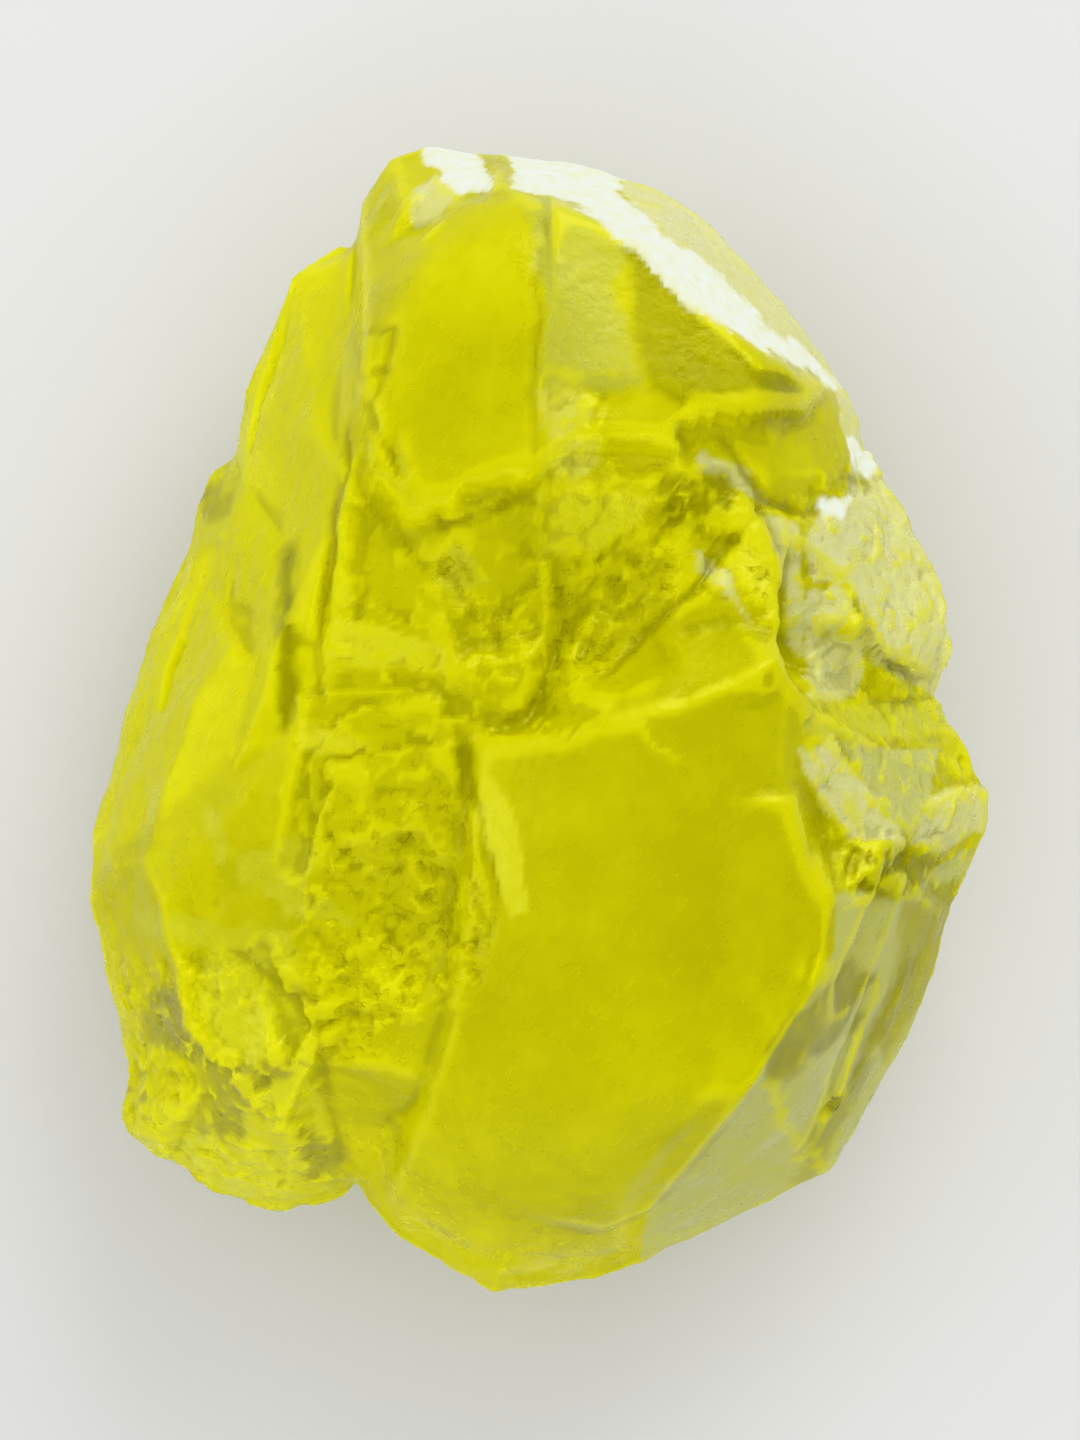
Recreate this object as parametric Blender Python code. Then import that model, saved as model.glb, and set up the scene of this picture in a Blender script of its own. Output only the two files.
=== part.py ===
"""A native sulfur crystal, broken from its rock and lying on its back.

Several crystal blocks grew into one another and are one solid here. Each block is a convex stone
bounded by flat crystal faces. Small angular lumps are added, and the broken places are then taken out
of the joined stone: flat breaks, hollows, ledges and pits.

Frame: +Y runs along the crystal to its tip, +Z is up, away from the face that it rests on. The origin
is the middle of the crystal's outline, at the height of the surface that the crystal lies on.
Every number in the tables is in degrees, or in millimetres for a crystal 50 mm long. The crystal's
length drives its whole size.
"""

import math
import random
from collections import namedtuple

import bmesh
import bpy
from mathutils import Matrix, Vector

# The crystal's length from foot to tip, in metres, and the length in millimetres that the tables are for
LENGTH = 0.050
TABLE_LENGTH = 50.0
MM = LENGTH / TABLE_LENGTH

# How far outside the stone a line starts that looks for its surface, and how wide a block is uncut
FAR = 100.0
UNCUT = 120.0

# Points of the crystal nearer than this are one point
WELD = 0.002

# The seed of everything uneven
SEED = 5

# A face: a point on it, the heading that it looks to, anticlockwise from +X, and its slope.
# The slope is the angle from the horizontal: 0 faces up, 90 is a wall, 180 faces down.
Face = namedtuple("Face", "x y z heading slope")

# A side of a block, from this corner of its outline to the next one, with the slopes of its two faces.
Side = namedtuple("Side", "x y upper lower")

# A block: its sides anticlockwise round the outline, the height of its waist, where the upper and the
# lower faces meet, over the origin, how much the waist climbs for each millimetre along X and Y, and
# its other faces.
Block = namedtuple("Block", "sides waist climb_x climb_y faces")

# A broken hollow. The stone is looked at along a line through this point, from the heading and
# slope that a face there would have, and the break sits where that line meets the stone. Its half
# length, half width and depth follow, and the turn of its length about the line.
Scoop = namedtuple("Scoop", "x y z half_length half_width depth turn heading slope")

# A ledge cut into the upper side: where it starts and ends, its width and its depth. Its wall is steep
# along that line and its floor climbs away to the left.
Ledge = namedtuple("Ledge", "x0 y0 x1 y1 width depth")

# A field of small pits: its middle, its half length and half width, how many, and their half size.
PitField = namedtuple("PitField", "x y half_length half_width count size")

# A lump that stands on the upper side: where, its half width and how far it stands out.
Lump = namedtuple("Lump", "x y half_width height")

CORE = Block(
    sides=(
        Side(17.2, 1.0, 60, 118),
        Side(14.0, 11.4, 58, 122),
        Side(11.2, 15.6, 62, 117),
        Side(6.5, 20.6, 60, 121),
        Side(-1.0, 22.6, 58, 118),
        Side(-7.6, 21.0, 62, 116),
        Side(-13.0, 11.4, 60, 121),
        Side(-16.6, 2.0, 58, 118),
        Side(-18.4, -7.0, 60, 123),
        Side(-17.6, -15.0, 57, 118),
        Side(-15.6, -17.2, 55, 121),
        Side(-2.0, -22.6, 58, 117),
        Side(5.0, -21.6, 56, 122),
        Side(12.4, -17.6, 57, 116),
        Side(16.6, -9.5, 60, 120),
        Side(17.6, -4.0, 59, 122),
    ),
    waist=11.6,
    climb_x=-0.02,
    climb_y=0.02,
    faces=(
        Face(0.0, 2.0, 21.6, 100, 3),
        Face(-6.6, 3.0, 20.9, 178, 12),
        Face(-11.5, -8.0, 18.2, 202, 28),
        Face(-4.0, -15.0, 19.6, -115, 22),
        Face(6.0, -15.0, 20.4, -72, 24),
        Face(10.5, -6.0, 20.8, -12, 25),
        Face(10.5, 7.0, 20.5, 28, 24),
        Face(2.0, 15.5, 20.4, 78, 17),
        Face(-8.5, 14.0, 19.0, 140, 27),
    ),
)

CROWN = Block(
    sides=(
        Side(14.1, 10.8, 66, 112),
        Side(13.9, 13.0, 72, 118),
        Side(13.3, 14.4, 74, 121),
        Side(10.8, 18.1, 71, 118),
        Side(7.4, 21.7, 74, 124),
        Side(5.0, 23.3, 71, 120),
        Side(1.8, 24.25, 72, 119),
        Side(-1.6, 24.7, 72, 117),
        Side(-4.9, 25.0, 60, 122),
        Side(-6.6, 24.4, 63, 119),
        Side(-7.8, 22.6, 84, 112),
        Side(-9.6, 3.0, 60, 118),
        Side(6.0, -4.0, 66, 120),
        Side(13.2, 4.0, 60, 118),
    ),
    waist=12.2,
    climb_x=-0.03,
    climb_y=0.02,
    faces=(
        Face(-2.5, 15.0, 22.7, 132, 12),
        Face(4.5, 15.5, 22.5, 52, 15),
        Face(0.0, 9.9, 24.1, 94, 4),
        Face(9.5, 13.0, 22.0, 36, 27),
        Face(-5.0, 9.0, 23.2, -147, 55),
        Face(-2.0, 8.7, 23.9, -68, 62),
        Face(5.0, 10.2, 23.4, -85, 60),
        Face(11.5, 10.7, 21.2, -66, 52),
        Face(-7.5, 15.0, 21.2, 177, 62),
        Face(-5.4, 21.8, 20.2, 122, 33),
    ),
)

SLAB = Block(
    sides=(
        Side(-8.7, 20.8, 48, 118),
        Side(-10.7, 19.4, 62, 114),
        Side(-12.9, 14.4, 66, 120),
        Side(-13.3, 11.8, 70, 118),
        Side(-14.0, 4.0, 62, 120),
        Side(-14.6, -6.0, 60, 124),
        Side(0.0, -10.0, 60, 122),
        Side(0.0, 18.0, 60, 118),
    ),
    waist=11.8,
    climb_x=0.02,
    climb_y=0.03,
    faces=(
        Face(-11.6, 10.0, 18.8, 170, 42),
        Face(-9.6, 8.0, 20.9, 174, 22),
        Face(-9.6, 18.6, 17.4, 120, 44),
        Face(-10.4, 0.0, 20.9, 186, 26),
        Face(-10.2, -2.0, 20.6, -112, 38),
        Face(-8.6, 5.0, 21.2, -9, 42),
    ),
)

LEFT = Block(
    sides=(
        Side(-15.3, 7.6, 62, 119),
        Side(-17.4, 3.2, 64, 124),
        Side(-19.6, -5.0, 68, 117),
        Side(-19.7, -8.0, 62, 122),
        Side(-18.5, -13.4, 70, 114),
        Side(-17.6, -17.2, 56, 124),
        Side(-16.4, -19.3, 56, 117),
        Side(-14.4, -20.7, 58, 120),
        Side(-11.2, -21.7, 60, 121),
        Side(-8.7, -20.9, 58, 118),
        Side(0.0, -12.0, 60, 121),
        Side(2.0, 4.0, 60, 124),
    ),
    waist=11.2,
    climb_x=0.03,
    climb_y=0.03,
    faces=(
        Face(-15.0, 2.0, 16.8, 174, 36),
        Face(-15.2, -9.0, 17.0, 193, 27),
        Face(-10.6, -5.0, 20.0, 207, 15),
        Face(-13.0, -15.6, 17.2, 228, 28),
        Face(-11.0, -19.0, 15.8, 262, 40),
        Face(-8.4, -16.0, 18.3, -44, 18),
        Face(-5.6, -4.0, 21.8, -160, 5),
        Face(-3.0, -4.0, 21.9, -8, 30),
        Face(-7.0, -0.8, 21.8, 86, 40),
    ),
)

SHOULDER = Block(
    sides=(
        Side(-13.2, 11.7, 56, 118),
        Side(-14.4, 10.8, 58, 116),
        Side(-15.1, 9.4, 62, 121),
        Side(-15.5, 7.0, 60, 118),
        Side(-15.8, 2.0, 60, 120),
        Side(-6.0, -2.0, 60, 120),
        Side(-6.0, 10.0, 60, 120),
    ),
    waist=11.4,
    climb_x=0.02,
    climb_y=0.02,
    faces=(
        Face(-13.6, 8.6, 15.4, 152, 38),
        Face(-12.6, 6.0, 17.2, 176, 30),
    ),
)

CORNER = Block(
    sides=(
        Side(-18.0, -14.8, 58, 116),
        Side(-18.35, -17.2, 56, 121),
        Side(-18.0, -18.3, 60, 118),
        Side(-16.4, -19.5, 58, 120),
        Side(-10.0, -18.0, 60, 120),
        Side(-12.0, -11.0, 60, 120),
    ),
    waist=11.0,
    climb_x=0.02,
    climb_y=0.02,
    faces=(
        Face(-16.4, -16.4, 13.8, 214, 36),
        Face(-14.6, -15.0, 15.6, 200, 28),
    ),
)

TOOTH = Block(
    sides=(
        Side(-7.6, -21.0, 60, 116),
        Side(-6.3, -22.5, 58, 122),
        Side(-3.7, -24.1, 60, 118),
        Side(-2.0, -25.0, 62, 121),
        Side(2.4, -24.4, 60, 116),
        Side(5.0, -23.5, 66, 120),
        Side(12.6, -19.7, 66, 112),
        Side(14.3, -17.4, 67, 119),
        Side(16.6, -12.6, 67, 115),
        Side(18.1, -8.4, 68, 121),
        Side(18.2, -2.0, 64, 119),
        Side(14.0, 8.5, 60, 122),
        Side(2.0, 13.0, 60, 122),
        Side(-9.0, 6.0, 60, 120),
        Side(-10.5, -14.0, 60, 118),
    ),
    waist=11.4,
    climb_x=-0.03,
    climb_y=-0.01,
    faces=(
        Face(4.0, -8.0, 24.4, -62, 7),
        Face(8.0, 2.0, 23.7, 14, 9),
        Face(3.0, -17.5, 21.8, -92, 27),
        Face(-0.5, -14.0, 22.9, -138, 16),
        Face(-5.6, -18.0, 19.0, -165, 30),
        Face(-2.1, -5.0, 23.4, 186, 52),
        Face(0.4, 0.8, 23.2, 100, 40),
        Face(4.0, 3.6, 23.2, 137, 52),
        Face(9.8, 6.4, 22.4, 44, 48),
        Face(12.4, -5.0, 22.6, -5, 50),
        Face(10.6, -14.4, 21.4, -33, 54),
    ),
)

UPPER_LOBE = Block(
    sides=(
        Side(17.3, 1.2, 58, 114),
        Side(18.1, 3.2, 60, 121),
        Side(17.9, 5.0, 58, 116),
        Side(15.9, 9.3, 56, 120),
        Side(14.4, 11.7, 60, 115),
        Side(2.0, 15.0, 60, 122),
        Side(-4.0, 4.0, 60, 120),
        Side(2.0, -8.0, 60, 120),
    ),
    waist=11.8,
    climb_x=-0.04,
    climb_y=0.02,
    faces=(
        Face(15.0, 6.0, 18.2, 22, 33),
        Face(11.0, 5.0, 20.9, 16, 20),
        Face(13.6, 2.4, 18.9, -52, 30),
        Face(10.4, 6.0, 20.9, 200, 33),
    ),
)

LOWER_LOBE = Block(
    sides=(
        Side(18.1, -8.2, 60, 118),
        Side(19.5, -4.9, 64, 114),
        Side(19.7, -3.2, 60, 121),
        Side(18.6, -1.2, 58, 117),
        Side(17.2, 1.0, 50, 119),
        Side(4.0, 6.0, 60, 120),
        Side(-4.0, -6.0, 60, 120),
        Side(4.0, -16.0, 58, 118),
    ),
    waist=11.3,
    climb_x=-0.02,
    climb_y=-0.03,
    faces=(
        Face(16.0, -4.8, 17.8, -10, 33),
        Face(15.6, -2.4, 18.0, 44, 26),
        Face(15.6, -7.2, 17.4, -48, 36),
        Face(13.2, -3.2, 19.9, 10, 14),
        Face(12.0, -2.0, 20.1, 176, 28),
    ),
)

BLOCKS = {
    "core": CORE,
    "crown": CROWN,
    "slab": SLAB,
    "left": LEFT,
    "shoulder": SHOULDER,
    "corner": CORNER,
    "tooth": TOOTH,
    "upper_lobe": UPPER_LOBE,
    "lower_lobe": LOWER_LOBE,
}

# A break takes away the stone that lies outside all of its faces, and leaves those faces behind.
BREAKS = {
    "hollow_floor": (
        Face(3.2, 6.0, 20.3, -80, 12),
        Face(0.0, 7.0, 21.4, -4, 52),
        Face(4.0, 10.3, 23.0, -88, 60),
        Face(4.6, 4.6, 22.8, 143, 52),
        Face(10.2, 8.0, 21.6, 204, 40),
    ),
    "hollow_shelf": (
        Face(-2.6, 6.4, 21.2, -28, 10),
        Face(-2.0, 8.9, 23.0, -70, 66),
        Face(-5.0, 6.0, 21.6, 20, 40),
        Face(0.6, 5.0, 21.6, 176, 62),
        Face(-2.0, 2.4, 21.6, 96, 40),
    ),
    "right_shelf": (
        Face(12.6, -1.6, 19.7, 24, 20),
        Face(11.5, -1.0, 21.2, -8, 46),
        Face(13.0, -5.4, 20.0, 62, 44),
    ),
}


SCOOPS = (
    Scoop(2.8, 9.6, 0, 3.6, 1.7, 1.3, 10, 0, 0),
    Scoop(3.2, 5.4, 0, 3.2, 2.8, 1.1, 60, 0, 0),
    Scoop(8.4, 7.6, 0, 2.4, 1.8, 0.8, 0, 0, 0),
    Scoop(9.8, 10.8, 0, 2.6, 1.3, 0.9, -12, 0, 0),
    Scoop(-0.8, 8.6, 0, 2.0, 1.1, 0.7, 160, 0, 0),
    Scoop(-3.0, 6.4, 0, 2.4, 1.6, 0.5, 20, 0, 0),
    Scoop(14.8, 1.2, 0, 3.6, 1.5, 1.0, -28, 0, 0),
    Scoop(13.2, 5.8, 0, 3.4, 1.8, 0.5, 58, 0, 0),
    Scoop(16.2, 6.2, 16.0, 2.2, 0.9, 0.4, 116, 30, 40),
    Scoop(-4.4, -5.0, 0, 4.2, 2.0, 0.6, 84, 0, 0),
    Scoop(-8.6, -9.6, 0, 4.2, 3.0, 0.5, 30, 0, 0),
    Scoop(-14.4, -12.0, 16.5, 4.6, 3.0, 0.5, 60, 200, 20),
    Scoop(-6.2, 11.6, 0, 2.0, 1.2, 0.4, 60, 0, 0),
    Scoop(-5.4, 22.2, 0, 1.7, 1.0, 0.35, 40, 0, 0),
    Scoop(14.8, -9.4, 18.0, 3.4, 1.6, 0.5, 70, -10, 30),
    Scoop(0, -7.0, 4.0, 8.0, 3.6, 0.8, 84, -22, 105),
    Scoop(0, 8.0, 5.0, 7.0, 3.4, 0.7, 96, 155, 110),
    Scoop(0, 2.0, 5.0, 7.0, 3.2, 0.8, 80, 60, 112),
    Scoop(-3.0, 0, 5.0, 8.0, 3.2, 0.7, 95, 250, 112),
    Scoop(0, 2.0, 8.0, 5.0, 2.4, 0.6, 70, 10, 95),
    Scoop(-4.0, -4.0, 8.0, 6.0, 2.6, 0.5, 100, 196, 100),
)

# How far a ledge's cutter stands clear of the stone
LEDGE_CLEAR = 0.6

LEDGES = (
    Ledge(-4.2, 3.1, -8.8, 2.3, 1.7, 0.5),
    Ledge(-5.0, 0.9, -10.0, 1.7, 1.3, 0.45),
    Ledge(-3.2, -0.3, -9.4, -1.3, 1.6, 0.55),
    Ledge(-4.2, 0.9, -1.9, -8.2, 1.5, 1.1),
    Ledge(-9.6, 1.6, -11.4, -6.4, 1.4, 0.35),
    Ledge(5.2, -1.2, 1.9, 0.4, 1.2, 0.35),
    Ledge(1.6, -0.8, -3.0, 0.8, 1.2, 0.35),
    Ledge(-12.6, -9.6, -9.2, -18.0, 2.0, 0.4),
    Ledge(14.6, -10.6, 11.2, -19.2, 1.3, 0.6),
    Ledge(-2.6, 21.8, -2.0, 24.2, 1.1, 0.5),
    Ledge(0.2, 21.4, 0.0, 11.2, 1.6, 0.35),
    Ledge(-14.4, 7.8, -16.6, 0.6, 1.0, 0.4),
    Ledge(-11.4, 17.4, -12.8, 11.8, 1.1, 0.35),
    Ledge(11.8, -2.6, 17.6, -3.6, 1.4, 0.7),
    Ledge(13.2, -7.8, 17.6, -5.2, 1.3, 0.5),
    Ledge(-5.8, 13.6, -7.2, 16.4, 0.9, 0.35),
    Ledge(6.2, 4.8, 9.6, 8.9, 0.9, 0.4),
)

PIT_FIELDS = (
    PitField(3.4, 6.2, 2.0, 2.2, 12, 0.34),
    PitField(8.4, 6.6, 1.0, 1.1, 5, 0.30),
    PitField(-6.0, -6.5, 3.2, 4.0, 12, 0.28),
    PitField(-14.0, -15.0, 2.6, 2.6, 5, 0.30),
    PitField(12.0, 2.0, 2.4, 2.6, 5, 0.28),
)

LUMPS = (
    Lump(1.3, 12.9, 1.1, 0.35),
    Lump(1.0, 11.3, 1.0, 0.40),
    Lump(2.3, 12.2, 0.9, 0.30),
    Lump(-3.6, 4.9, 1.0, 0.30),
    Lump(-1.2, 5.2, 0.9, 0.35),
    Lump(-5.4, -4.0, 1.2, 0.30),
    Lump(-10.6, -11.0, 1.6, 0.35),
    Lump(12.6, 9.2, 1.5, 0.45),
)


def direction(heading, slope):
    """The outward normal of a face with this heading and slope, both in degrees."""
    turn, lean = math.radians(heading), math.radians(slope)
    return Vector((math.cos(turn) * math.sin(lean), math.sin(turn) * math.sin(lean), math.cos(lean)))


def waist_height(block, x, y):
    """The height of a block's waist over a point of its outline."""
    return block.waist + block.climb_x * x + block.climb_y * y


def planes_of(block):
    """Every plane of a block as a point and an outward normal."""
    planes = [(Vector((f.x, f.y, f.z)), direction(f.heading, f.slope)) for f in block.faces]
    for here, ahead in zip(block.sides, block.sides[1:] + block.sides[:1]):
        start = Vector((here.x, here.y, waist_height(block, here.x, here.y)))
        end = Vector((ahead.x, ahead.y, waist_height(block, ahead.x, ahead.y)))
        along = end - start
        outward = Vector((along.y, -along.x, 0)).normalized()
        for slope in (here.upper, here.lower):
            lean = math.radians(slope)
            leaning = outward * math.sin(lean) + Vector((0, 0, math.cos(lean)))
            # Both faces hold the waist's edge, which climbs a little, so each normal is squared to it
            normal = leaning - along * (leaning.dot(along) / along.length_squared)
            planes.append((start, normal.normalized()))
    return planes


def cut_to(planes, name):
    """A convex stone: a cube cut by each plane in turn, with each cut closed by a flat face."""
    stone = bmesh.new()
    bmesh.ops.create_cube(stone, size=UNCUT * MM)
    for point, normal in planes:
        everything = stone.verts[:] + stone.edges[:] + stone.faces[:]
        cut = bmesh.ops.bisect_plane(
            stone, geom=everything, plane_co=point * MM, plane_no=normal, dist=1e-7, clear_outer=True
        )
        rim = [part for part in cut["geom_cut"] if isinstance(part, bmesh.types.BMEdge)]
        if rim:
            bmesh.ops.contextual_create(stone, geom=rim)
    bmesh.ops.recalc_face_normals(stone, faces=stone.faces[:])
    return as_object(stone, name)


def as_object(shape, name):
    """An object in the scene that holds this bmesh."""
    mesh = bpy.data.meshes.new(name)
    shape.to_mesh(mesh)
    shape.free()
    made = bpy.data.objects.new(name, mesh)
    bpy.context.scene.collection.objects.link(made)
    return made


def joined(base, other, operation):
    """base after a Boolean with other, which is then removed."""
    boolean = base.modifiers.new(operation.lower(), "BOOLEAN")
    boolean.object = other
    boolean.operation = operation
    boolean.solver = "EXACT"
    bpy.context.view_layer.update()
    evaluated = base.evaluated_get(bpy.context.evaluated_depsgraph_get())
    result = bpy.data.meshes.new_from_object(evaluated)
    base.modifiers.clear()
    base.data = result
    bpy.data.objects.remove(other)
    return base


def met(stone, point, outward):
    """Where a line that comes in against this outward direction, through this point, meets the stone."""
    hit, place, _, _ = stone.ray_cast((point + outward * FAR) * MM, -outward)
    if not hit:
        raise ValueError(f"nothing there at {point}")
    return place / MM


def above(stone, x, y):
    """The stone's upper surface over this point."""
    return met(stone, Vector((x, y, 0)), Vector((0, 0, 1)))


def scoop_cutter(stone, scoop, chance):
    """A flattened ball with uneven facets that leaves a shallow broken hollow in the stone."""
    turned = (
        Matrix.Rotation(math.radians(scoop.heading), 3, "Z")
        @ Matrix.Rotation(math.radians(scoop.slope), 3, "Y")
        @ Matrix.Rotation(math.radians(scoop.turn), 3, "Z")
    )
    outward = direction(scoop.heading, scoop.slope)
    place = met(stone, Vector((scoop.x, scoop.y, scoop.z)), outward)
    # At four fifths of its half height from its middle, a ball is three fifths of its full width
    middle = place + outward * 4 * scoop.depth
    half = Vector((scoop.half_length / 0.6, scoop.half_width / 0.6, 5 * scoop.depth))
    ball = bmesh.new()
    bmesh.ops.create_icosphere(ball, subdivisions=2, radius=1)
    for vert in ball.verts:
        uneven = vert.co * chance.uniform(0.88, 1.06)
        vert.co = (middle + turned @ Vector(a * b for a, b in zip(uneven, half))) * MM
    return as_object(ball, "scoop")


def hull_of(points, name):
    """The convex stone round these points."""
    shape = bmesh.new()
    for point in points:
        shape.verts.new(point * MM)
    hull = bmesh.ops.convex_hull(shape, input=shape.verts[:])
    inner = [v for v in hull["geom_interior"] if isinstance(v, bmesh.types.BMVert)]
    bmesh.ops.delete(shape, geom=inner, context="VERTS")
    bmesh.ops.recalc_face_normals(shape, faces=shape.faces[:])
    return as_object(shape, name)


def ledge_cutter(stone, ledge):
    """A wedge that is deepest halfway along its line and runs out at both ends."""
    start, end = Vector((ledge.x0, ledge.y0)), Vector((ledge.x1, ledge.y1))
    along = (end - start).normalized()
    across = Vector((-along.y, along.x, 0))
    up = Vector((0, 0, 1))
    points = []
    for share, deep in ((0, 0.2), (0.5, 1), (1, 0.2)):
        spot = start.lerp(end, share)
        place = above(stone, spot.x, spot.y)
        foot = across * 0.15 * ledge.width - up * ledge.depth * deep
        # The wall starts just outside the line, and the floor goes on climbing beyond the ledge's width
        wall = across * -0.3 + up * LEDGE_CLEAR
        floor = across * ledge.width * 2 + up * LEDGE_CLEAR
        points += [place + foot, place + wall, place + floor]
    return hull_of(points, "ledge")


def pit_cutters(stone, field, chance):
    """Small faceted balls set into the stone, scattered over the field."""
    pits = []
    for _ in range(field.count):
        x = field.x + field.half_length * chance.uniform(-1, 1)
        y = field.y + field.half_width * chance.uniform(-1, 1)
        radius = field.size * chance.uniform(0.6, 1.9)
        place = above(stone, x, y) + Vector((0, 0, 0.45 * radius))
        spin = Matrix.Rotation(chance.uniform(0, math.tau), 3, "X")
        ball = bmesh.new()
        bmesh.ops.create_icosphere(ball, subdivisions=1, radius=radius)
        for vert in ball.verts:
            vert.co = (place + spin @ vert.co * chance.uniform(0.8, 1.2)) * MM
        pits.append(as_object(ball, "pit"))
    return pits


def lump_stone(stone, lump, chance):
    """A small angular stone, half sunk in the crystal."""
    place = above(stone, lump.x, lump.y) - Vector((0, 0, lump.height))
    points = []
    for _ in range(14):
        turn, climb = chance.uniform(0, math.tau), chance.uniform(-1, 1)
        reach = lump.half_width * chance.uniform(0.8, 1.1) * math.sqrt(1 - climb * climb)
        out = Vector((math.cos(turn) * reach, math.sin(turn) * reach, 2 * climb * lump.height))
        points.append(place + out)
    return hull_of(points, "lump")


def without_crumbs(stone):
    """The stone without the small loose pieces that the cuts left beside it."""
    shape = bmesh.new()
    shape.from_mesh(stone.data)
    bmesh.ops.remove_doubles(shape, verts=shape.verts[:], dist=WELD * MM)
    bodies, seen = [], set()
    for first in shape.faces:
        if first in seen:
            continue
        body, edge_of_search = {first}, [first]
        while edge_of_search:
            face = edge_of_search.pop()
            near = {other for edge in face.edges for other in edge.link_faces} - body
            body |= near
            edge_of_search.extend(near)
        seen |= body
        bodies.append(body)
    whole = max(bodies, key=len)
    crumbs = [face for body in bodies if body is not whole for face in body]
    bmesh.ops.delete(shape, geom=crumbs, context="FACES")
    shape.to_mesh(stone.data)
    shape.free()


def dressed(stone):
    """Gives the stone its plain yellow material."""
    sulfur = bpy.data.materials.new("sulfur")
    sulfur.use_nodes = True
    shader = sulfur.node_tree.nodes["Principled BSDF"]
    shader.inputs["Base Color"].default_value = (0.62, 0.58, 0.02, 1)
    shader.inputs["Roughness"].default_value = 0.3
    shader.inputs["IOR"].default_value = 2.0
    stone.data.materials.clear()
    stone.data.materials.append(sulfur)


def clear_scene():
    """Removes what the scene starts with."""
    for there in list(bpy.data.objects):
        bpy.data.objects.remove(there)


def main():
    clear_scene()
    crystal = None
    rest = (Vector((0, 0, 0)), Vector((0, 0, -1)))
    for name, block in BLOCKS.items():
        stone = cut_to([rest] + planes_of(block), name)
        crystal = joined(crystal, stone, "UNION") if crystal else stone
    for name, faces in BREAKS.items():
        planes = [(Vector((f.x, f.y, f.z)), -direction(f.heading, f.slope)) for f in faces]
        crystal = joined(crystal, cut_to(planes, name), "DIFFERENCE")
    chance = random.Random(SEED)
    for lump in LUMPS:
        crystal = joined(crystal, lump_stone(crystal, lump, chance), "UNION")
    for scoop in SCOOPS:
        crystal = joined(crystal, scoop_cutter(crystal, scoop, chance), "DIFFERENCE")
    for ledge in LEDGES:
        crystal = joined(crystal, ledge_cutter(crystal, ledge), "DIFFERENCE")
    for field in PIT_FIELDS:
        for pit in pit_cutters(crystal, field, chance):
            crystal = joined(crystal, pit, "DIFFERENCE")
    without_crumbs(crystal)
    crystal.name = "sulfur_crystal"
    dressed(crystal)


main()
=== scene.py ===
import logging
import math
from dataclasses import dataclass, field
from enum import Enum
from typing import Dict, Sequence, Tuple, Union

import bpy
import numpy as np
from mathutils import Matrix


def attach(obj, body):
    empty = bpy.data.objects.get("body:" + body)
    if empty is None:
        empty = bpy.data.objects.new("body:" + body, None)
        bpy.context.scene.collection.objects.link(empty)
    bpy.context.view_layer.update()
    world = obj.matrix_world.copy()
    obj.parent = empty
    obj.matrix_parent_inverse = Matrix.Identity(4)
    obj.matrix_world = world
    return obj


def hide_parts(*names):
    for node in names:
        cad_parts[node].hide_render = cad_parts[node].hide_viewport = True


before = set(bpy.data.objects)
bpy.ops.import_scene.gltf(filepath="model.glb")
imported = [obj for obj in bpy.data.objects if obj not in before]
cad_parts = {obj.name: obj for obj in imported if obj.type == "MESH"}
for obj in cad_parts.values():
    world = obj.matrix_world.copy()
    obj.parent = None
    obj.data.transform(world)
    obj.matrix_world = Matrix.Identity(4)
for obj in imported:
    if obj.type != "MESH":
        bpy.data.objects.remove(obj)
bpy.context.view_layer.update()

MM = 0.001
LOG = logging.getLogger("sulfur")

PIXEL = 0.04374
PIXEL_X = 541.0
PIXEL_Y = 720.5

Array = np.ndarray
Outline = Sequence[Tuple[float, float]]
Number = Union[float, int]
Colour = Tuple[float, float, float]
Place = Tuple[float, float, float]
Span = Tuple[float, float]

# The lattices of the noise start this many cells out, so that every cell counts from above zero
LATTICE_START = 1000.0
# The least length that is divided by
TINY = 1e-12


# Numbers over the stone: noise, broken shards and marks drawn on the front


def corner_values(cells: Array, seed: int) -> Array:
    """One repeatable random number for every corner of a cubic lattice.

    The three whole numbers of a corner are multiplied by large primes and mixed bit by bit.

    Args:
        cells: whole numbers, shape (n, 3).
        seed: picks another set of numbers.

    Returns:
        Numbers from 0 to 1, shape (n,).
    """
    mixed = cells.astype(np.uint64) * np.array([0x9E3779B1, 0x85EBCA77, 0xC2B2AE3D], np.uint64)
    bits = mixed[:, 0] ^ mixed[:, 1] ^ mixed[:, 2] ^ np.uint64(seed * 0x27D4EB2F)
    bits = (bits ^ (bits >> np.uint64(15))) * np.uint64(0x2C1B3C6D)
    bits = (bits ^ (bits >> np.uint64(12))) * np.uint64(0x297A2D39)
    bits ^= bits >> np.uint64(15)
    return (bits & np.uint64(0xFFFFFF)).astype(float) / 0xFFFFFF


def noise(points: Array, size: float, seed: int) -> Array:
    """Smooth random hills and dips: corner values of a cubic lattice blended by a quintic curve.

    Args:
        points: places in millimetres, shape (n, 3).
        size: the lattice's spacing in millimetres.
        seed: picks another landscape.

    Returns:
        Values from -1 to 1, shape (n,).
    """
    lattice = points / size + LATTICE_START
    cell = np.floor(lattice)
    share = lattice - cell
    blend = share**3 * (share * (share * 6 - 15) + 10)
    total = np.zeros(len(points))
    for corner in np.ndindex(2, 2, 2):
        weight = np.prod(np.where(np.array(corner), blend, 1 - blend), axis=1)
        total += weight * corner_values(cell.astype(np.int64) + corner, seed)
    return total * 2 - 1


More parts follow.
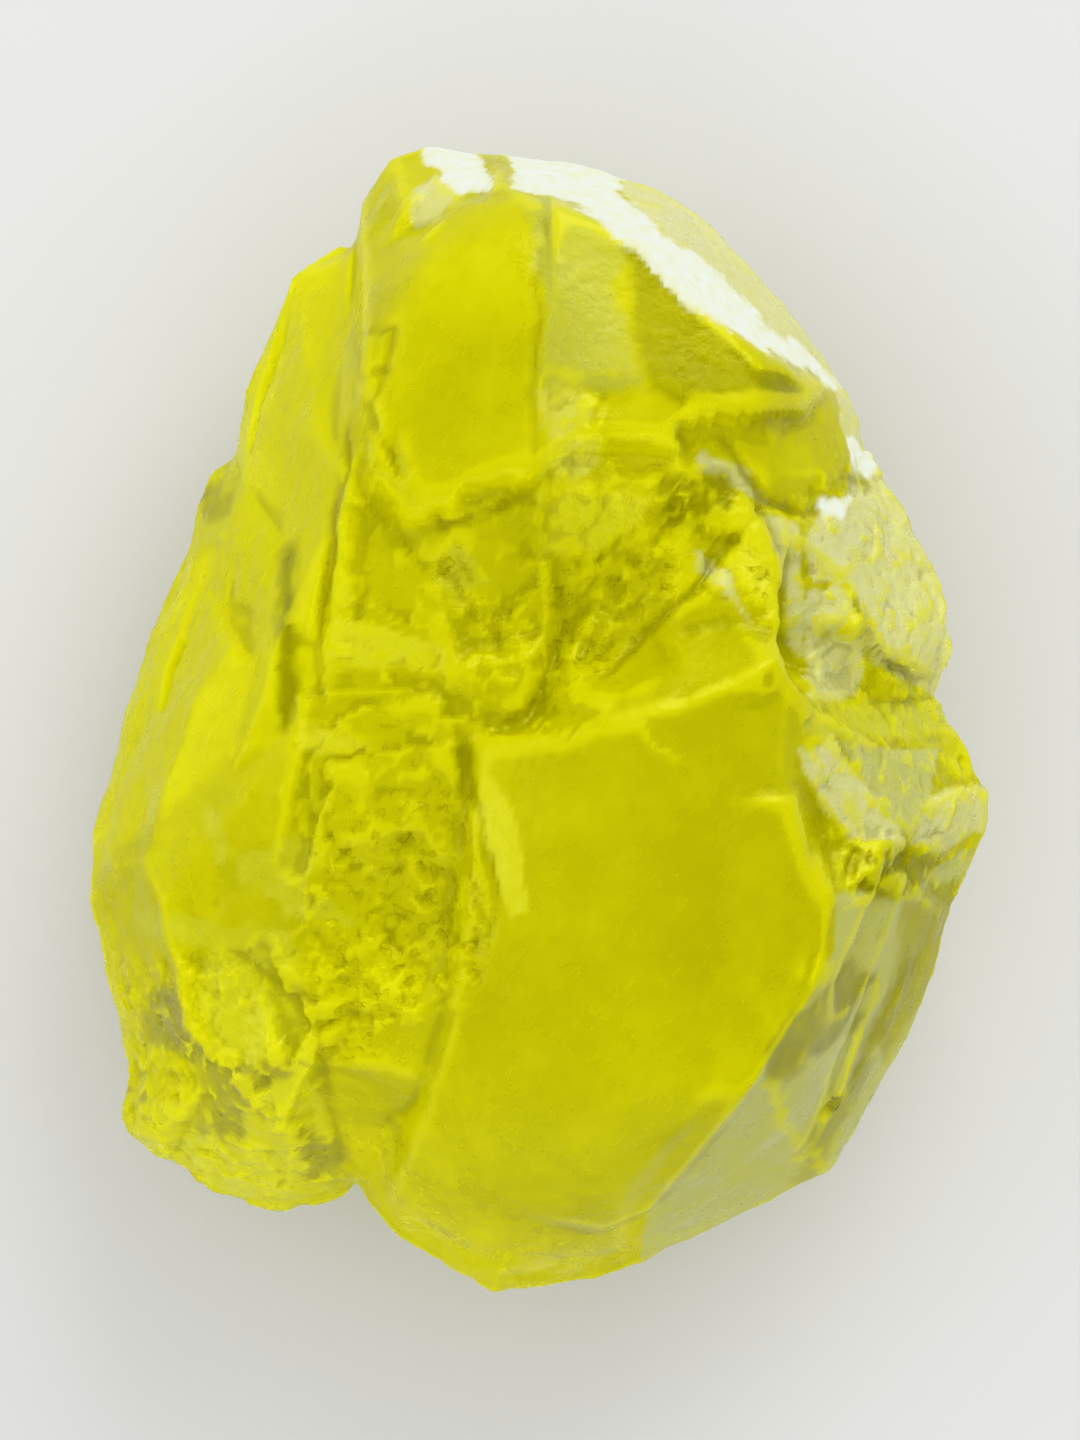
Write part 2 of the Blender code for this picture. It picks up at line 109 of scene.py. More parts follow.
def layered(points: Array, size: float, seed: int, layers: int = 4, rough: float = 0.5) -> Array:
    """Noise with ever finer noise on it, each layer half the size and rough times the height.

    Args:
        points: places in millimetres, shape (n, 3).
        size: the coarsest layer's spacing in millimetres.
        seed: picks another landscape.
        layers: how many layers.
        rough: the height of a layer beside that of the one before.

    Returns:
        Values of about -1 to 1, shape (n,).
    """
    heights = rough ** np.arange(layers)
    total = sum(h * noise(points, size / 2**k, seed + k) for k, h in enumerate(heights))
    return total / heights.sum()


@dataclass(frozen=True)
class Grain:
    """Layered noise of one size, times a height. It may be finer along one axis than along another."""

    size: float
    seed: int
    layers: int = 4
    rough: float = 0.5
    height: float = 1.0
    finer: Place = (1.0, 1.0, 1.0)

    def over(self, points: Array) -> Array:
        """Its values over places in millimetres, shape (n,)."""
        return self.height * layered(points * self.finer, self.size, self.seed, self.layers, self.rough)

    def shifts(self, points: Array, axes: int) -> Array:
        """A random way for each place, by one noise for each axis.

        Args:
            points: places in millimetres, shape (n, 3).
            axes: how many numbers each way has.

        Returns:
            The ways, shape (n, axes).
        """
        ways = [layered(points, self.size, self.seed + k, self.layers, self.rough) for k in range(axes)]
        return np.stack(ways, axis=1) * self.height


@dataclass(frozen=True)
class Shards:
    """A surface broken into flat facets, each leaning its own way.

    Every cell of a jittered cubic lattice has a seed point. A place belongs to its nearest seed point, and
    its height is that shard's own slope times the way from the seed point.
    """

    size: float
    seed: int
    margin: float = 0.1
    jitter: float = 0.8

    def over(self, points: Array) -> Array:
        """Works out the facets over these places.

        Args:
            points: places in millimetres, shape (n, 3).

        Returns:
            Heights of about -1 to 1, shape (n,).
        """
        lattice = points / self.size + LATTICE_START
        cell = np.floor(lattice)
        nearest = np.full(len(points), np.inf)
        offset = np.zeros_like(points)
        owner = np.zeros(points.shape, np.int64)
        for step in np.ndindex(3, 3, 3):
            here = (cell + step - 1).astype(np.int64)
            chance = np.stack([corner_values(here, self.seed + k) for k in range(3)], axis=1)
            away = lattice - (here + self.margin + self.jitter * chance)
            distance = np.einsum("ij,ij->i", away, away)
            closer = distance < nearest
            nearest = np.where(closer, distance, nearest)
            offset = np.where(closer[:, None], away, offset)
            owner = np.where(closer[:, None], here, owner)
        lean = np.stack([corner_values(owner, self.seed + 10 + k) for k in range(3)], axis=1) * 2 - 1
        return np.einsum("ij,ij->i", offset, lean)


def smooth_step(low: float, high: float, value: Array) -> Array:
    """0 below low and 1 above high, with a smooth rise between them.

    Args:
        low: where the rise starts. It may be above high, for a fall.
        high: where the rise ends.
        value: any shape.

    Returns:
        Values from 0 to 1, shaped as value.
    """
    share = np.clip((value - low) / (high - low), 0, 1)
    return share * share * (3 - 2 * share)


def to_segment(flat: Array, start: Tuple[float, float], end: Tuple[float, float]) -> Tuple[Array, Array]:
    """The way from each place to a straight line's nearest point.

    Args:
        flat: places seen from above, in millimetres, shape (n, 2).
        start: where the line starts.
        end: where it ends.

    Returns:
        The distance, and the share of the line's length at its nearest point, each of shape (n,).
    """
    begin = np.array(start)
    along = np.array(end) - begin
    share = np.clip((flat - begin) @ along / (along @ along), 0, 1)
    return np.linalg.norm(flat - begin - share[:, None] * along, axis=1), share


def to_line(flat: Array, line: Outline) -> Tuple[Array, Array]:
    """The way from each place to a bent line.

    Args:
        flat: places seen from above, in millimetres, shape (n, 2).
        line: the line's corners.

    Returns:
        The distance, and the share of the corners passed at its nearest point, each of shape (n,).
    """
    best = np.full(len(flat), np.inf)
    where = np.zeros(len(flat))
    for k, (start, end) in enumerate(zip(line, line[1:])):
        distance, share = to_segment(flat, start, end)
        where = np.where(distance < best, (k + share) / (len(line) - 1), where)
        best = np.minimum(best, distance)
    return best, where


def inside(flat: Array, outline: Outline) -> Array:
    """How deep each place lies in an outline, counted as negative outside it.

    A place is inside where a line from it towards +X crosses the outline an odd number of times.

    Args:
        flat: places seen from above, in millimetres, shape (n, 2).
        outline: the outline's corners.

    Returns:
        Distances in millimetres, shape (n,).
    """
    closed = list(outline) + [outline[0]]
    distance, _ = to_line(flat, closed)
    crossings = np.zeros(len(flat), bool)
    for (x0, y0), (x1, y1) in zip(closed, closed[1:]):
        spans = (y0 > flat[:, 1]) != (y1 > flat[:, 1])
        slope = (x1 - x0) / (y1 - y0) if y1 != y0 else 0.0
        crossings ^= spans & (flat[:, 0] < x0 + slope * (flat[:, 1] - y0))
    return np.where(crossings, distance, -distance)


# Marks on the stone, placed by the photograph's pixels


def seen(*pixels: Tuple[float, float]) -> Outline:
    """Corners or points given by pixels of the photograph.

    Args:
        pixels: places in the photograph, 1080 wide and 1440 high.

    Returns:
        The same places seen from above, in millimetres.
    """
    return tuple(((x - PIXEL_X) * PIXEL, (PIXEL_Y - y) * PIXEL) for x, y in pixels)


class Mark(Enum):
    """What a marked area is made of, what is done to its surface, or the light or shade painted on it."""

    SLAB = "slab"
    OLIVE = "olive"
    PAINTED_LIGHT = "bright"
    VEIL = "veil"
    RUBBLE = "rubble"
    LOBE = "lobe"
    MILK = "milk"
    CLOUD = "cloud"
    GREY = "grey"
    PAINTED_HIGHLIGHT = "painted_highlight"
    BROKEN = "broken"
    PITTED = "pitted"
    GROOVE = "groove"
    RIM = "rim"


AREAS: Tuple[Tuple[Mark, Outline], ...] = (
    # The white band along the upper right edge, with its yellow gap: a painted highlight, white where the
    # band's facets catch the light
    (Mark.PAINTED_HIGHLIGHT, seen((424, 130), (430, 163), (445, 182), (462, 199), (492, 197), (480, 160), (478, 130))),
    (Mark.PAINTED_HIGHLIGHT, seen((505, 130), (512, 165), (518, 196), (545, 203), (575, 215), (600, 232), (625, 252),
                      (645, 268), (665, 292), (690, 318), (725, 340), (760, 357), (805, 372), (830, 392),
                      (838, 388), (800, 350), (755, 335), (700, 290), (650, 235), (620, 195), (640, 130))),
    (Mark.LOBE, seen((625, 130), (618, 198), (650, 240), (700, 292), (755, 338), (800, 355), (860, 390),
                     (880, 300), (800, 220))),
    (Mark.PAINTED_HIGHLIGHT, seen((650, 240), (690, 262), (735, 300), (765, 335), (745, 330), (700, 290))),
    (Mark.LOBE, seen((413, 222), (420, 198), (437, 180), (460, 200), (442, 228), (420, 236))),
    (Mark.LOBE, seen((790, 360), (835, 393), (846, 440), (870, 460), (880, 400), (820, 330))),
    # The veil and the two sides of the crown
    (Mark.VEIL, seen((527, 215), (545, 203), (600, 233), (627, 262), (610, 300), (624, 330), (630, 370),
                     (644, 400), (600, 404), (543, 402), (540, 300), (533, 240))),
    (Mark.OLIVE, seen((627, 262), (665, 295), (725, 343), (790, 370), (800, 420), (760, 440), (700, 420),
                      (650, 402), (632, 350))),
    (Mark.RUBBLE, seen((543, 405), (575, 402), (592, 415), (584, 440), (602, 458), (580, 482), (545, 482))),
    # The hollow
    (Mark.OLIVE, seen((650, 480), (720, 480), (735, 505), (700, 535), (668, 548), (660, 520))),
    # Painted light: bright glints in the hollow
    (Mark.PAINTED_LIGHT, seen((542, 492), (600, 492), (648, 503), (640, 530), (590, 558), (543, 560))),
    (Mark.PAINTED_LIGHT, seen((708, 548), (735, 520), (762, 530), (770, 570), (768, 620), (740, 585), (722, 570))),
    (Mark.CLOUD, seen((440, 560), (462, 548), (490, 585), (470, 605), (450, 596))),
    (Mark.LOBE, seen((660, 515), (680, 528), (684, 540), (668, 534))),
    (Mark.LOBE, seen((690, 548), (705, 565), (725, 580), (745, 625), (715, 590), (695, 572))),
    # The flat patch, the ledges below it and the fracture's bright wall: painted light, a glow of light
    # through the stone and highlights on the wall
    (Mark.PAINTED_LIGHT, seen((338, 617), (380, 630), (450, 652), (442, 674), (400, 668), (331, 666))),
    (Mark.PAINTED_LIGHT, seen((335, 590), (352, 585), (362, 610), (345, 612))),
    (Mark.PAINTED_LIGHT, seen((303, 715), (330, 730), (400, 748), (300, 752))),
    (Mark.PAINTED_LIGHT, seen((478, 795), (487, 765), (506, 790), (524, 850), (530, 905), (512, 912), (497, 868))),
    # The left side
    # Painted glow: the slab is coloured brighter, standing in for light that comes through it
    (Mark.SLAB, seen((362, 236), (300, 250), (240, 430), (236, 540), (190, 560), (150, 640), (120, 700),
                     (80, 800), (80, 880), (160, 820), (235, 760), (300, 742), (332, 640), (352, 470))),
    (Mark.CLOUD, seen((205, 462), (244, 452), (246, 500), (236, 548), (190, 552), (190, 500))),
    (Mark.GREY, seen((203, 500), (214, 472), (234, 470), (228, 512), (208, 522))),
    (Mark.OLIVE, seen((285, 560), (302, 545), (306, 700), (296, 735), (284, 735))),
    (Mark.CLOUD, seen((240, 850), (300, 835), (345, 850), (300, 880), (360, 920), (300, 910), (245, 880))),
    (Mark.CLOUD, seen((130, 905), (190, 915), (260, 925), (300, 960), (230, 950), (150, 935))),
    (Mark.CLOUD, seen((210, 790), (230, 830), (228, 860), (212, 830))),
    # The cloudy lower left
    (Mark.CLOUD, seen((205, 955), (262, 920), (292, 925), (303, 965), (312, 1010), (322, 1060), (330, 1110),
                      (347, 1150), (352, 1180), (352, 1230), (240, 1230), (110, 1160), (110, 1100),
                      (190, 1100), (226, 1060), (205, 1010))),
    (Mark.GREY, seen((150, 985), (186, 990), (196, 1035), (232, 1052), (292, 1062), (262, 1096), (236, 1140),
                     (200, 1128), (214, 1082), (188, 1048), (150, 1042))),
    (Mark.GREY, seen((120, 1095), (145, 1095), (150, 1130), (120, 1130))),
    (Mark.GREY, seen((300, 1125), (345, 1135), (350, 1175), (315, 1180))),
    # The right lobes and their pale border
    (Mark.LOBE, seen((796, 548), (822, 518), (846, 500), (848, 440), (880, 440), (920, 490), (970, 600),
                     (970, 660), (940, 695), (890, 680), (862, 655), (852, 604), (840, 585), (808, 588))),
    (Mark.LOBE, seen((757, 520), (790, 530), (800, 560), (800, 660), (784, 646), (777, 590), (770, 545))),
    (Mark.LOBE, seen((862, 615), (880, 632), (905, 655), (940, 690), (925, 692), (885, 665), (860, 645))),
    # Painted highlight: a small white spot on the lobes where they catch the light
    (Mark.PAINTED_HIGHLIGHT, seen((850, 445), (870, 450), (885, 480), (872, 478), (856, 470))),
    (Mark.LOBE, seen((700, 462), (740, 474), (764, 508), (742, 504), (690, 476))),
    # Painted highlight: a small white spot
    (Mark.PAINTED_HIGHLIGHT, seen((820, 505), (842, 502), (836, 518), (824, 516))),
    (Mark.LOBE, seen((800, 590), (845, 590), (860, 650), (850, 700), (803, 700))),
    # Painted shade: a small area darkened olive
    (Mark.OLIVE, seen((840, 478), (866, 478), (872, 490), (850, 488))),
    (Mark.CLOUD, seen((803, 690), (860, 702), (930, 690), (965, 735), (900, 745), (835, 742), (800, 732))),
    # The right facets
    (Mark.LOBE, seen((790, 748), (830, 739), (850, 770), (872, 802), (902, 842), (845, 836), (812, 802))),
    (Mark.MILK, seen((832, 742), (936, 751), (926, 800), (905, 838), (872, 800), (850, 768))),
    (Mark.LOBE, seen((926, 800), (1000, 780), (990, 830), (940, 850), (905, 842))),
    # Painted shade: an area below the right facets darkened olive
    (Mark.OLIVE, seen((845, 845), (905, 850), (940, 855), (905, 898), (860, 892), (840, 868))),
    # The pale bevel at the lower right
    (Mark.MILK, seen((828, 890), (855, 885), (900, 900), (935, 868), (965, 850), (985, 860), (940, 1020),
                     (880, 1140), (800, 1200), (700, 1260), (640, 1275), (648, 1203), (690, 1155),
                     (735, 1095), (765, 1042), (800, 990), (825, 945))),
    (Mark.GREY, seen((800, 992), (850, 958), (872, 975), (850, 1022), (810, 1050), (766, 1072), (764, 1045))),
    (Mark.GROOVE, seen((905, 955), (890, 985), (868, 1035), (845, 1090), (815, 1150), (795, 1180),
                       (812, 1182), (836, 1132), (862, 1080), (884, 1030), (918, 960))),
    (Mark.RIM, seen((900, 900), (965, 880), (945, 960), (915, 1020), (884, 1060), (870, 1040), (890, 985))),
    # Broken and pitted places
    (Mark.BROKEN, seen((352, 430), (400, 480), (440, 525), (540, 490), (600, 485), (700, 470), (760, 505),
                       (772, 560), (775, 640), (700, 600), (650, 620), (590, 690), (560, 740), (480, 735),
                       (450, 720), (300, 760), (330, 640))),
    (Mark.BROKEN, seen((545, 405), (600, 400), (620, 480), (545, 490))),
    (Mark.BROKEN, seen((300, 740), (460, 720), (500, 900), (480, 1000), (320, 1050), (300, 900))),
    (Mark.BROKEN, seen((760, 510), (860, 440), (960, 560), (1000, 780), (960, 900), (830, 900), (795, 745))),
    (Mark.BROKEN, seen((120, 960), (300, 930), (350, 1180), (300, 1230), (100, 1150))),
    (Mark.PITTED, seen((545, 575), (600, 560), (665, 540), (692, 556), (660, 620), (600, 682), (555, 690),
                       (540, 650), (500, 645), (488, 605), (535, 600))),
    (Mark.PITTED, seen((725, 555), (770, 560), (770, 620), (740, 600))),
    (Mark.PITTED, seen((320, 800), (470, 790), (500, 900), (480, 960), (380, 1050), (330, 1050), (310, 920))),
    (Mark.PITTED, seen((440, 520), (460, 540), (500, 620), (450, 600), (430, 560))),
)


@dataclass(frozen=True)
class Tint:
    """The colour of one kind of marked area, and how its rim and its strength break up."""

    mark: Mark
    colour: Colour
    strength: float = 1.0
    soft: float = 0.12
    ragged: float = 0.35
    patchy: float = 0.3


TINTS: Tuple[Tint, ...] = (
    # Painted glow: the slab's bright yellow stands in for light coming through it
    Tint(Mark.SLAB, (0.93, 0.91, 0.003), 0.9, 0.3, 0.5, 0.2),
    Tint(Mark.VEIL, (0.60, 0.62, 0.13), 0.85, 0.3, 0.5, 0.4),
    # Painted light: a glow of light through the stone, and bright glints
    Tint(Mark.PAINTED_LIGHT, (1.0, 0.98, 0.05), 1.0, 0.1, 0.3, 0.15),
    Tint(Mark.RUBBLE, (0.92, 0.92, 0.16), 0.9, 0.2, 0.8, 0.5),
    Tint(Mark.CLOUD, (0.80, 0.81, 0.06), 0.85, 0.2, 0.7, 0.4),
    # Pale cream of the cloudy lobes, with a painted sheen where they face the light
    Tint(Mark.LOBE, (0.93, 0.94, 0.44), 0.95, 0.1, 0.4, 0.25),
    Tint(Mark.MILK, (0.72, 0.74, 0.24), 0.95, 0.06, 0.12, 0.25),
    # Darker olive yellow of the stone; in the two small areas at the right it is painted shade
    Tint(Mark.OLIVE, (0.36, 0.35, 0.002), 0.95, 0.3, 0.4, 0.2),
    Tint(Mark.RIM, (0.52, 0.50, 0.01), 0.9, 0.25, 0.4, 0.2),
    Tint(Mark.GREY, (0.38, 0.36, 0.07), 0.9, 0.3, 1.0, 0.4),
    Tint(Mark.GROOVE, (0.40, 0.38, 0.03), 0.7, 0.25, 0.6, 0.4),
    # Painted highlight: the white where the band catches the light
    Tint(Mark.PAINTED_HIGHLIGHT, (0.93, 0.97, 0.80), 1.0, 0.18, 0.6, 0.0),
)


@dataclass(frozen=True)
class Crack:
    """A narrow groove along a bent line, deepest in its middle."""

    line: Outline
    width: float = 0.2
    depth: float = 0.14

    def over(self, flat: Array) -> Array:
        """The groove's depth at each place, as a height below zero.

        Args:
            flat: places seen from above, in millimetres, shape (n, 2).

        Returns:
            Heights in millimetres, shape (n,).
        """
        distance, share = to_line(flat, self.line)
        fade = np.sqrt(np.clip(4 * share * (1 - share), 0, 1))
        return -self.depth * fade * np.exp(-((distance / self.width) ** 2))


@dataclass(frozen=True)
class Lip:
    """The broken edge of a thin layer: the stone stands higher on the line's left for a little way.

    The height rises sharply at the line and falls away evenly behind it.
    """

    line: Outline
    height: float = 0.25
    reach: float = 2.0
    sharp: float = 0.08

    def over(self, flat: Array) -> Array:
        """The layer's height at each place.

        Args:
            flat: places seen from above, in millimetres, shape (n, 2).

        Returns:
            Heights in millimetres, shape (n,).
        """
        total = np.full(len(flat), np.inf)
        side = np.zeros(len(flat))
        for start, end in zip(self.line, self.line[1:]):
            distance, _ = to_segment(flat, start, end)
            along = (end[0] - start[0], end[1] - start[1])
            turn = along[0] * (flat[:, 1] - start[1]) - along[1] * (flat[:, 0] - start[0])
            side = np.where(distance < total, np.sign(turn), side)
            total = np.minimum(total, distance)
        _, share = to_line(flat, self.line)
        signed = total * side
        rise = smooth_step(-self.sharp, self.sharp, signed)
        fall = np.clip(1 - signed / self.reach, 0, 1)
        return self.height * rise * fall * np.sqrt(np.clip(4 * share * (1 - share), 0, 1))


# Below this height in millimetres the surface belongs to the stone's sides
FRONT_HEIGHT = 11.0


@dataclass(frozen=True)
class Flat:
    """A flat facet laid through the stone's own surface inside an outline, then leaned and raised.

    Its share is how far the surface moves to it, and soft is half the width of its rim. Where it has a
    crisp line, it is whole up to the near share of its reach from that line, and is gone at its reach.
    """

    outline: Outline
    lean_x: float = 0.0
    lean_y: float = 0.0
    rise: float = 0.0
    share: float = 0.85
    soft: float = 0.12
    fit: Outline = ()
    line: Outline = ()
    reach: float = 0.0
    near: float = 0.3
    rim: float = 0.12
    most: float = 1.1

    def laid(self, points: Array) -> Array:
        """The new heights of a surface with this facet.

        The facet's plane is the one with the least squared distance from the surface inside the outline, or
        inside the other outline that it carries on. Where the facet has a crisp line, it fades away from it.
        No point moves by more than a set height.

        Args:
            points: the surface in millimetres, shape (n, 3).

        Returns:
            Heights in millimetres, shape (n,).
        """
        deep = inside(points[:, :2], self.outline)
        fitted_on = inside(points[:, :2], self.fit) if self.fit else deep
        within = (fitted_on > 0) & (points[:, 2] > FRONT_HEIGHT)
        middle = points[within].mean(axis=0)
        away = points - middle
        terms = np.stack([away[within, 0], away[within, 1], np.ones(within.sum())], axis=1)
        fitted, *_ = np.linalg.lstsq(terms, away[within, 2], rcond=None)
        slope = fitted[:2] + (self.lean_x, self.lean_y)
        plane = middle[2] + away[:, :2] @ slope + fitted[2] + self.rise
        share = self.share * smooth_step(-self.rim, 2 * self.soft - self.rim, deep)
        share = share * (points[:, 2] > FRONT_HEIGHT)
        if self.line:
            distance, _ = to_line(points[:, :2], self.line)
            share = share * smooth_step(self.reach, self.near * self.reach, distance)
        return points[:, 2] + share * self.most * np.tanh((plane - points[:, 2]) / self.most)


FLATS: Tuple[Flat, ...] = (
    Flat(seen((338, 617), (450, 652), (442, 674), (331, 668)), 0.05, 0.10),
    Flat(seen((331, 668), (442, 674), (455, 700), (305, 712)), 0.0, -0.25, -0.1),
    Flat(seen((305, 712), (460, 700), (468, 745), (300, 752)), 0.0, 0.15),
    Flat(seen((455, 535), (541, 490), (538, 590), (505, 625)), -0.18, -0.08, -0.2),
    Flat(seen((542, 490), (650, 500), (600, 560), (543, 565)), 0.2, -0.2, -0.2),
    Flat(seen((790, 746), (832, 740), (870, 802), (902, 842), (845, 836), (812, 802)), -0.1, 0.1, 0.1),
    Flat(seen((832, 742), (936, 751), (926, 800), (905, 838), (870, 800)), 0.15, -0.1),
    Flat(seen((926, 800), (980, 785), (975, 820), (940, 850), (905, 842)), 0.0, 0.1, 0.1),
    Flat(seen((803, 690), (860, 702), (930, 695), (960, 735), (835, 742), (800, 735)), 0.0, -0.1, -0.1),
    Flat(
        seen((796, 548), (846, 500), (900, 490), (945, 600), (935, 680), (862, 650), (840, 585)),
        share=0.6,
    ),
    Flat(seen((413, 222), (437, 180), (460, 200), (442, 230)), 0.2, 0.1),
    Flat(seen((300, 275), (355, 255), (345, 480), (320, 640), (240, 600), (245, 450)), share=0.6),
    # The broad lower face and the crown's right face, carried on to their crisp borders
    Flat(
        seen((520, 800), (790, 790), (815, 850), (828, 890), (800, 990), (735, 1095), (650, 1205),
             (600, 1225), (500, 1200), (500, 1000)),
        share=1.0,
        fit=seen((640, 850), (760, 800), (800, 880), (750, 990), (690, 1060), (640, 1060)),
        line=seen((828, 890), (800, 990), (735, 1095), (680, 1170)),
        reach=8.0,
    ),
    Flat(
        seen((552, 208), (600, 232), (645, 268), (690, 318), (760, 357), (828, 390), (800, 420), (700, 425),
             (552, 395)),
        share=1.0,
        fit=seen((600, 270), (640, 290), (720, 370), (690, 415), (600, 390)),
        line=seen((600, 232), (645, 268), (690, 318), (760, 357), (828, 390)),
        reach=5.5,
    ),
)

CRACKS: Tuple[Crack, ...] = (
    Crack(seen((362, 345), (398, 336), (392, 380), (368, 385), (366, 350))),
    Crack(seen((392, 378), (372, 410), (395, 470), (430, 520))),
    Crack(seen((353, 425), (352, 470), (338, 540), (332, 610)), 0.22, 0.25),
    Crack(seen((430, 520), (450, 535), (500, 512), (541, 490)), 0.2, 0.2),
    Crack(seen((536, 260), (542, 330), (534, 400), (538, 480)), 0.18, 0.1),
    Crack(seen((450, 690), (465, 740), (478, 800), (500, 900)), 0.24, 0.16),
    Crack(seen((468, 610), (498, 630), (505, 660)), 0.2, 0.14),
    Crack(seen((760, 510), (690, 590), (640, 640), (590, 690)), 0.2, 0.16),
    Crack(seen((742, 480), (778, 560), (776, 650)), 0.2, 0.16),
    Crack(seen((905, 955), (870, 1030), (835, 1110), (802, 1178)), 0.3, 0.12),
    Crack(seen((240, 950), (318, 1000), (330, 1100), (357, 1185)), 0.3, 0.15),
    Crack(seen((720, 445), (735, 470), (760, 505), (800, 520), (840, 500)), 0.22, 0.2),
    Crack(seen((850, 600), (870, 650), (930, 692)), 0.25, 0.2),
)

LIPS: Tuple[Lip, ...] = (
    Lip(seen((690, 757), (655, 742), (640, 722), (590, 717), (570, 740), (500, 735), (470, 700)), 0.16, 1.6),
    Lip(seen((455, 672), (400, 668), (331, 667)), 0.2, 1.4),
    Lip(seen((460, 700), (380, 688), (305, 700)), 0.2, 1.2),
    Lip(seen((470, 738), (400, 752), (300, 752)), 0.22, 1.6),
    Lip(seen((840, 500), (790, 522), (745, 505), (700, 470), (600, 486), (541, 490), (445, 528),
             (400, 480), (362, 405)), 0.2, 2.0),
    Lip(seen((940, 690), (880, 665), (855, 620), (800, 660)), 0.22, 1.6),
    Lip(seen((957, 790), (930, 840), (850, 838), (795, 765)), 0.2, 1.2),
)

# Places where the solid's slots are filled, and broad faces that are calmed: an outline and rounds
FILLED: Tuple[Tuple[Outline, int], ...] = (
    (seen((783, 574), (962, 574), (985, 775), (790, 775)), 120),
    (seen((189, 903), (381, 903), (381, 1178), (230, 1178)), 140),
    (seen((130, 309), (253, 309), (244, 652), (130, 652)), 90),
    (seen((640, 390), (783, 400), (860, 440), (840, 500), (737, 505), (655, 480)), 300),
    (seen((400, 410), (646, 410), (665, 475), (540, 540), (440, 560)), 160),
    (seen((335, 228), (376, 228), (376, 500), (335, 500)), 50),
    (seen((450, 700), (495, 720), (500, 840), (462, 840)), 60),
)
CALMED: Tuple[Tuple[Outline, int], ...] = (
    (seen((470, 730), (655, 700), (785, 680), (792, 766), (822, 900), (792, 985), (640, 1185), (630, 1260),
          (480, 1270), (380, 1200), (440, 1010)), 240),
    (seen((364, 242), (425, 232), (462, 205), (520, 200), (545, 208), (600, 236), (640, 272), (690, 325),
          (760, 364), (820, 395), (800, 425), (740, 440), (650, 405), (545, 405), (535, 490), (440, 525),
          (400, 480), (360, 410)), 60),
)


# Meshes


@dataclass
class Skin:
    """A closed surface in the making: its points in millimetres and its triangles."""

    points: Array
    triangles: Array
    marks: Dict[str, Array] = field(default_factory=dict)

    def edges(self) -> Array:
        """Both ends of every side of every triangle, each way round, shape (m, 2)."""
        corners = self.triangles
        ways = np.concatenate([corners[:, [0, 1]], corners[:, [1, 2]], corners[:, [2, 0]]])
        return np.concatenate([ways, ways[:, ::-1]])

    def mean_of_neighbours(self, values: Array) -> Array:
        """The mean of a value over each point's neighbours.

        Args:
            values: one value or row of values for each point.

        Returns:
            The means, shaped as values.
        """
        ways = self.edges()
        count = np.bincount(ways[:, 0], minlength=len(self.points))
        columns = values.reshape(len(values), -1)
        starts, ends = ways[:, 0], ways[:, 1]
        sums = [np.bincount(starts, weights=column[ends], minlength=len(values)) for column in columns.T]
        return (np.stack(sums, axis=1) / count[:, None]).reshape(values.shape)

    def relax(self, rounds: int, share: Union[float, Array] = 0.5) -> None:
        """Moves every point towards the mean of its neighbours, which rounds the edges.

        Args:
            rounds: how often.
            share: how far, from 0 to 1, for all or for each point.
        """
        part = np.broadcast_to(share, len(self.points))[:, None]
        for _ in range(rounds):
            self.points = self.points + (self.mean_of_neighbours(self.points) - self.points) * part

    def normals(self) -> Array:
        """The outward direction at every point: the sum of its triangles' normals, made one long."""
        a, b, c = (self.points[self.triangles[:, k]] for k in range(3))
        facing = np.cross(b - a, c - a)
        total = np.zeros_like(self.points)
        for corners in self.triangles.T:
            for axis in range(3):
                total[:, axis] += np.bincount(corners, weights=facing[:, axis], minlength=len(total))
        return total / np.maximum(np.linalg.norm(total, axis=1, keepdims=True), TINY)

    def mesh(self, name: str) -> bpy.types.Object:
        """Puts the surface into a mesh object with its marks as attributes.

        Args:
            name: the object's name.

        Returns:
            The object, linked to the scene.
        """
        made = bpy.data.meshes.new(name)
        made.from_pydata((self.points * MM).astype(float), [], self.triangles.tolist())
        made.shade_smooth()
        for mark, values in self.marks.items():
            made.attributes.new(mark, "FLOAT", "POINT").data.foreach_set("value", values.astype(np.float32))
        made.update()
        thing = bpy.data.objects.new(name, made)
        bpy.context.scene.collection.objects.link(thing)
        return thing


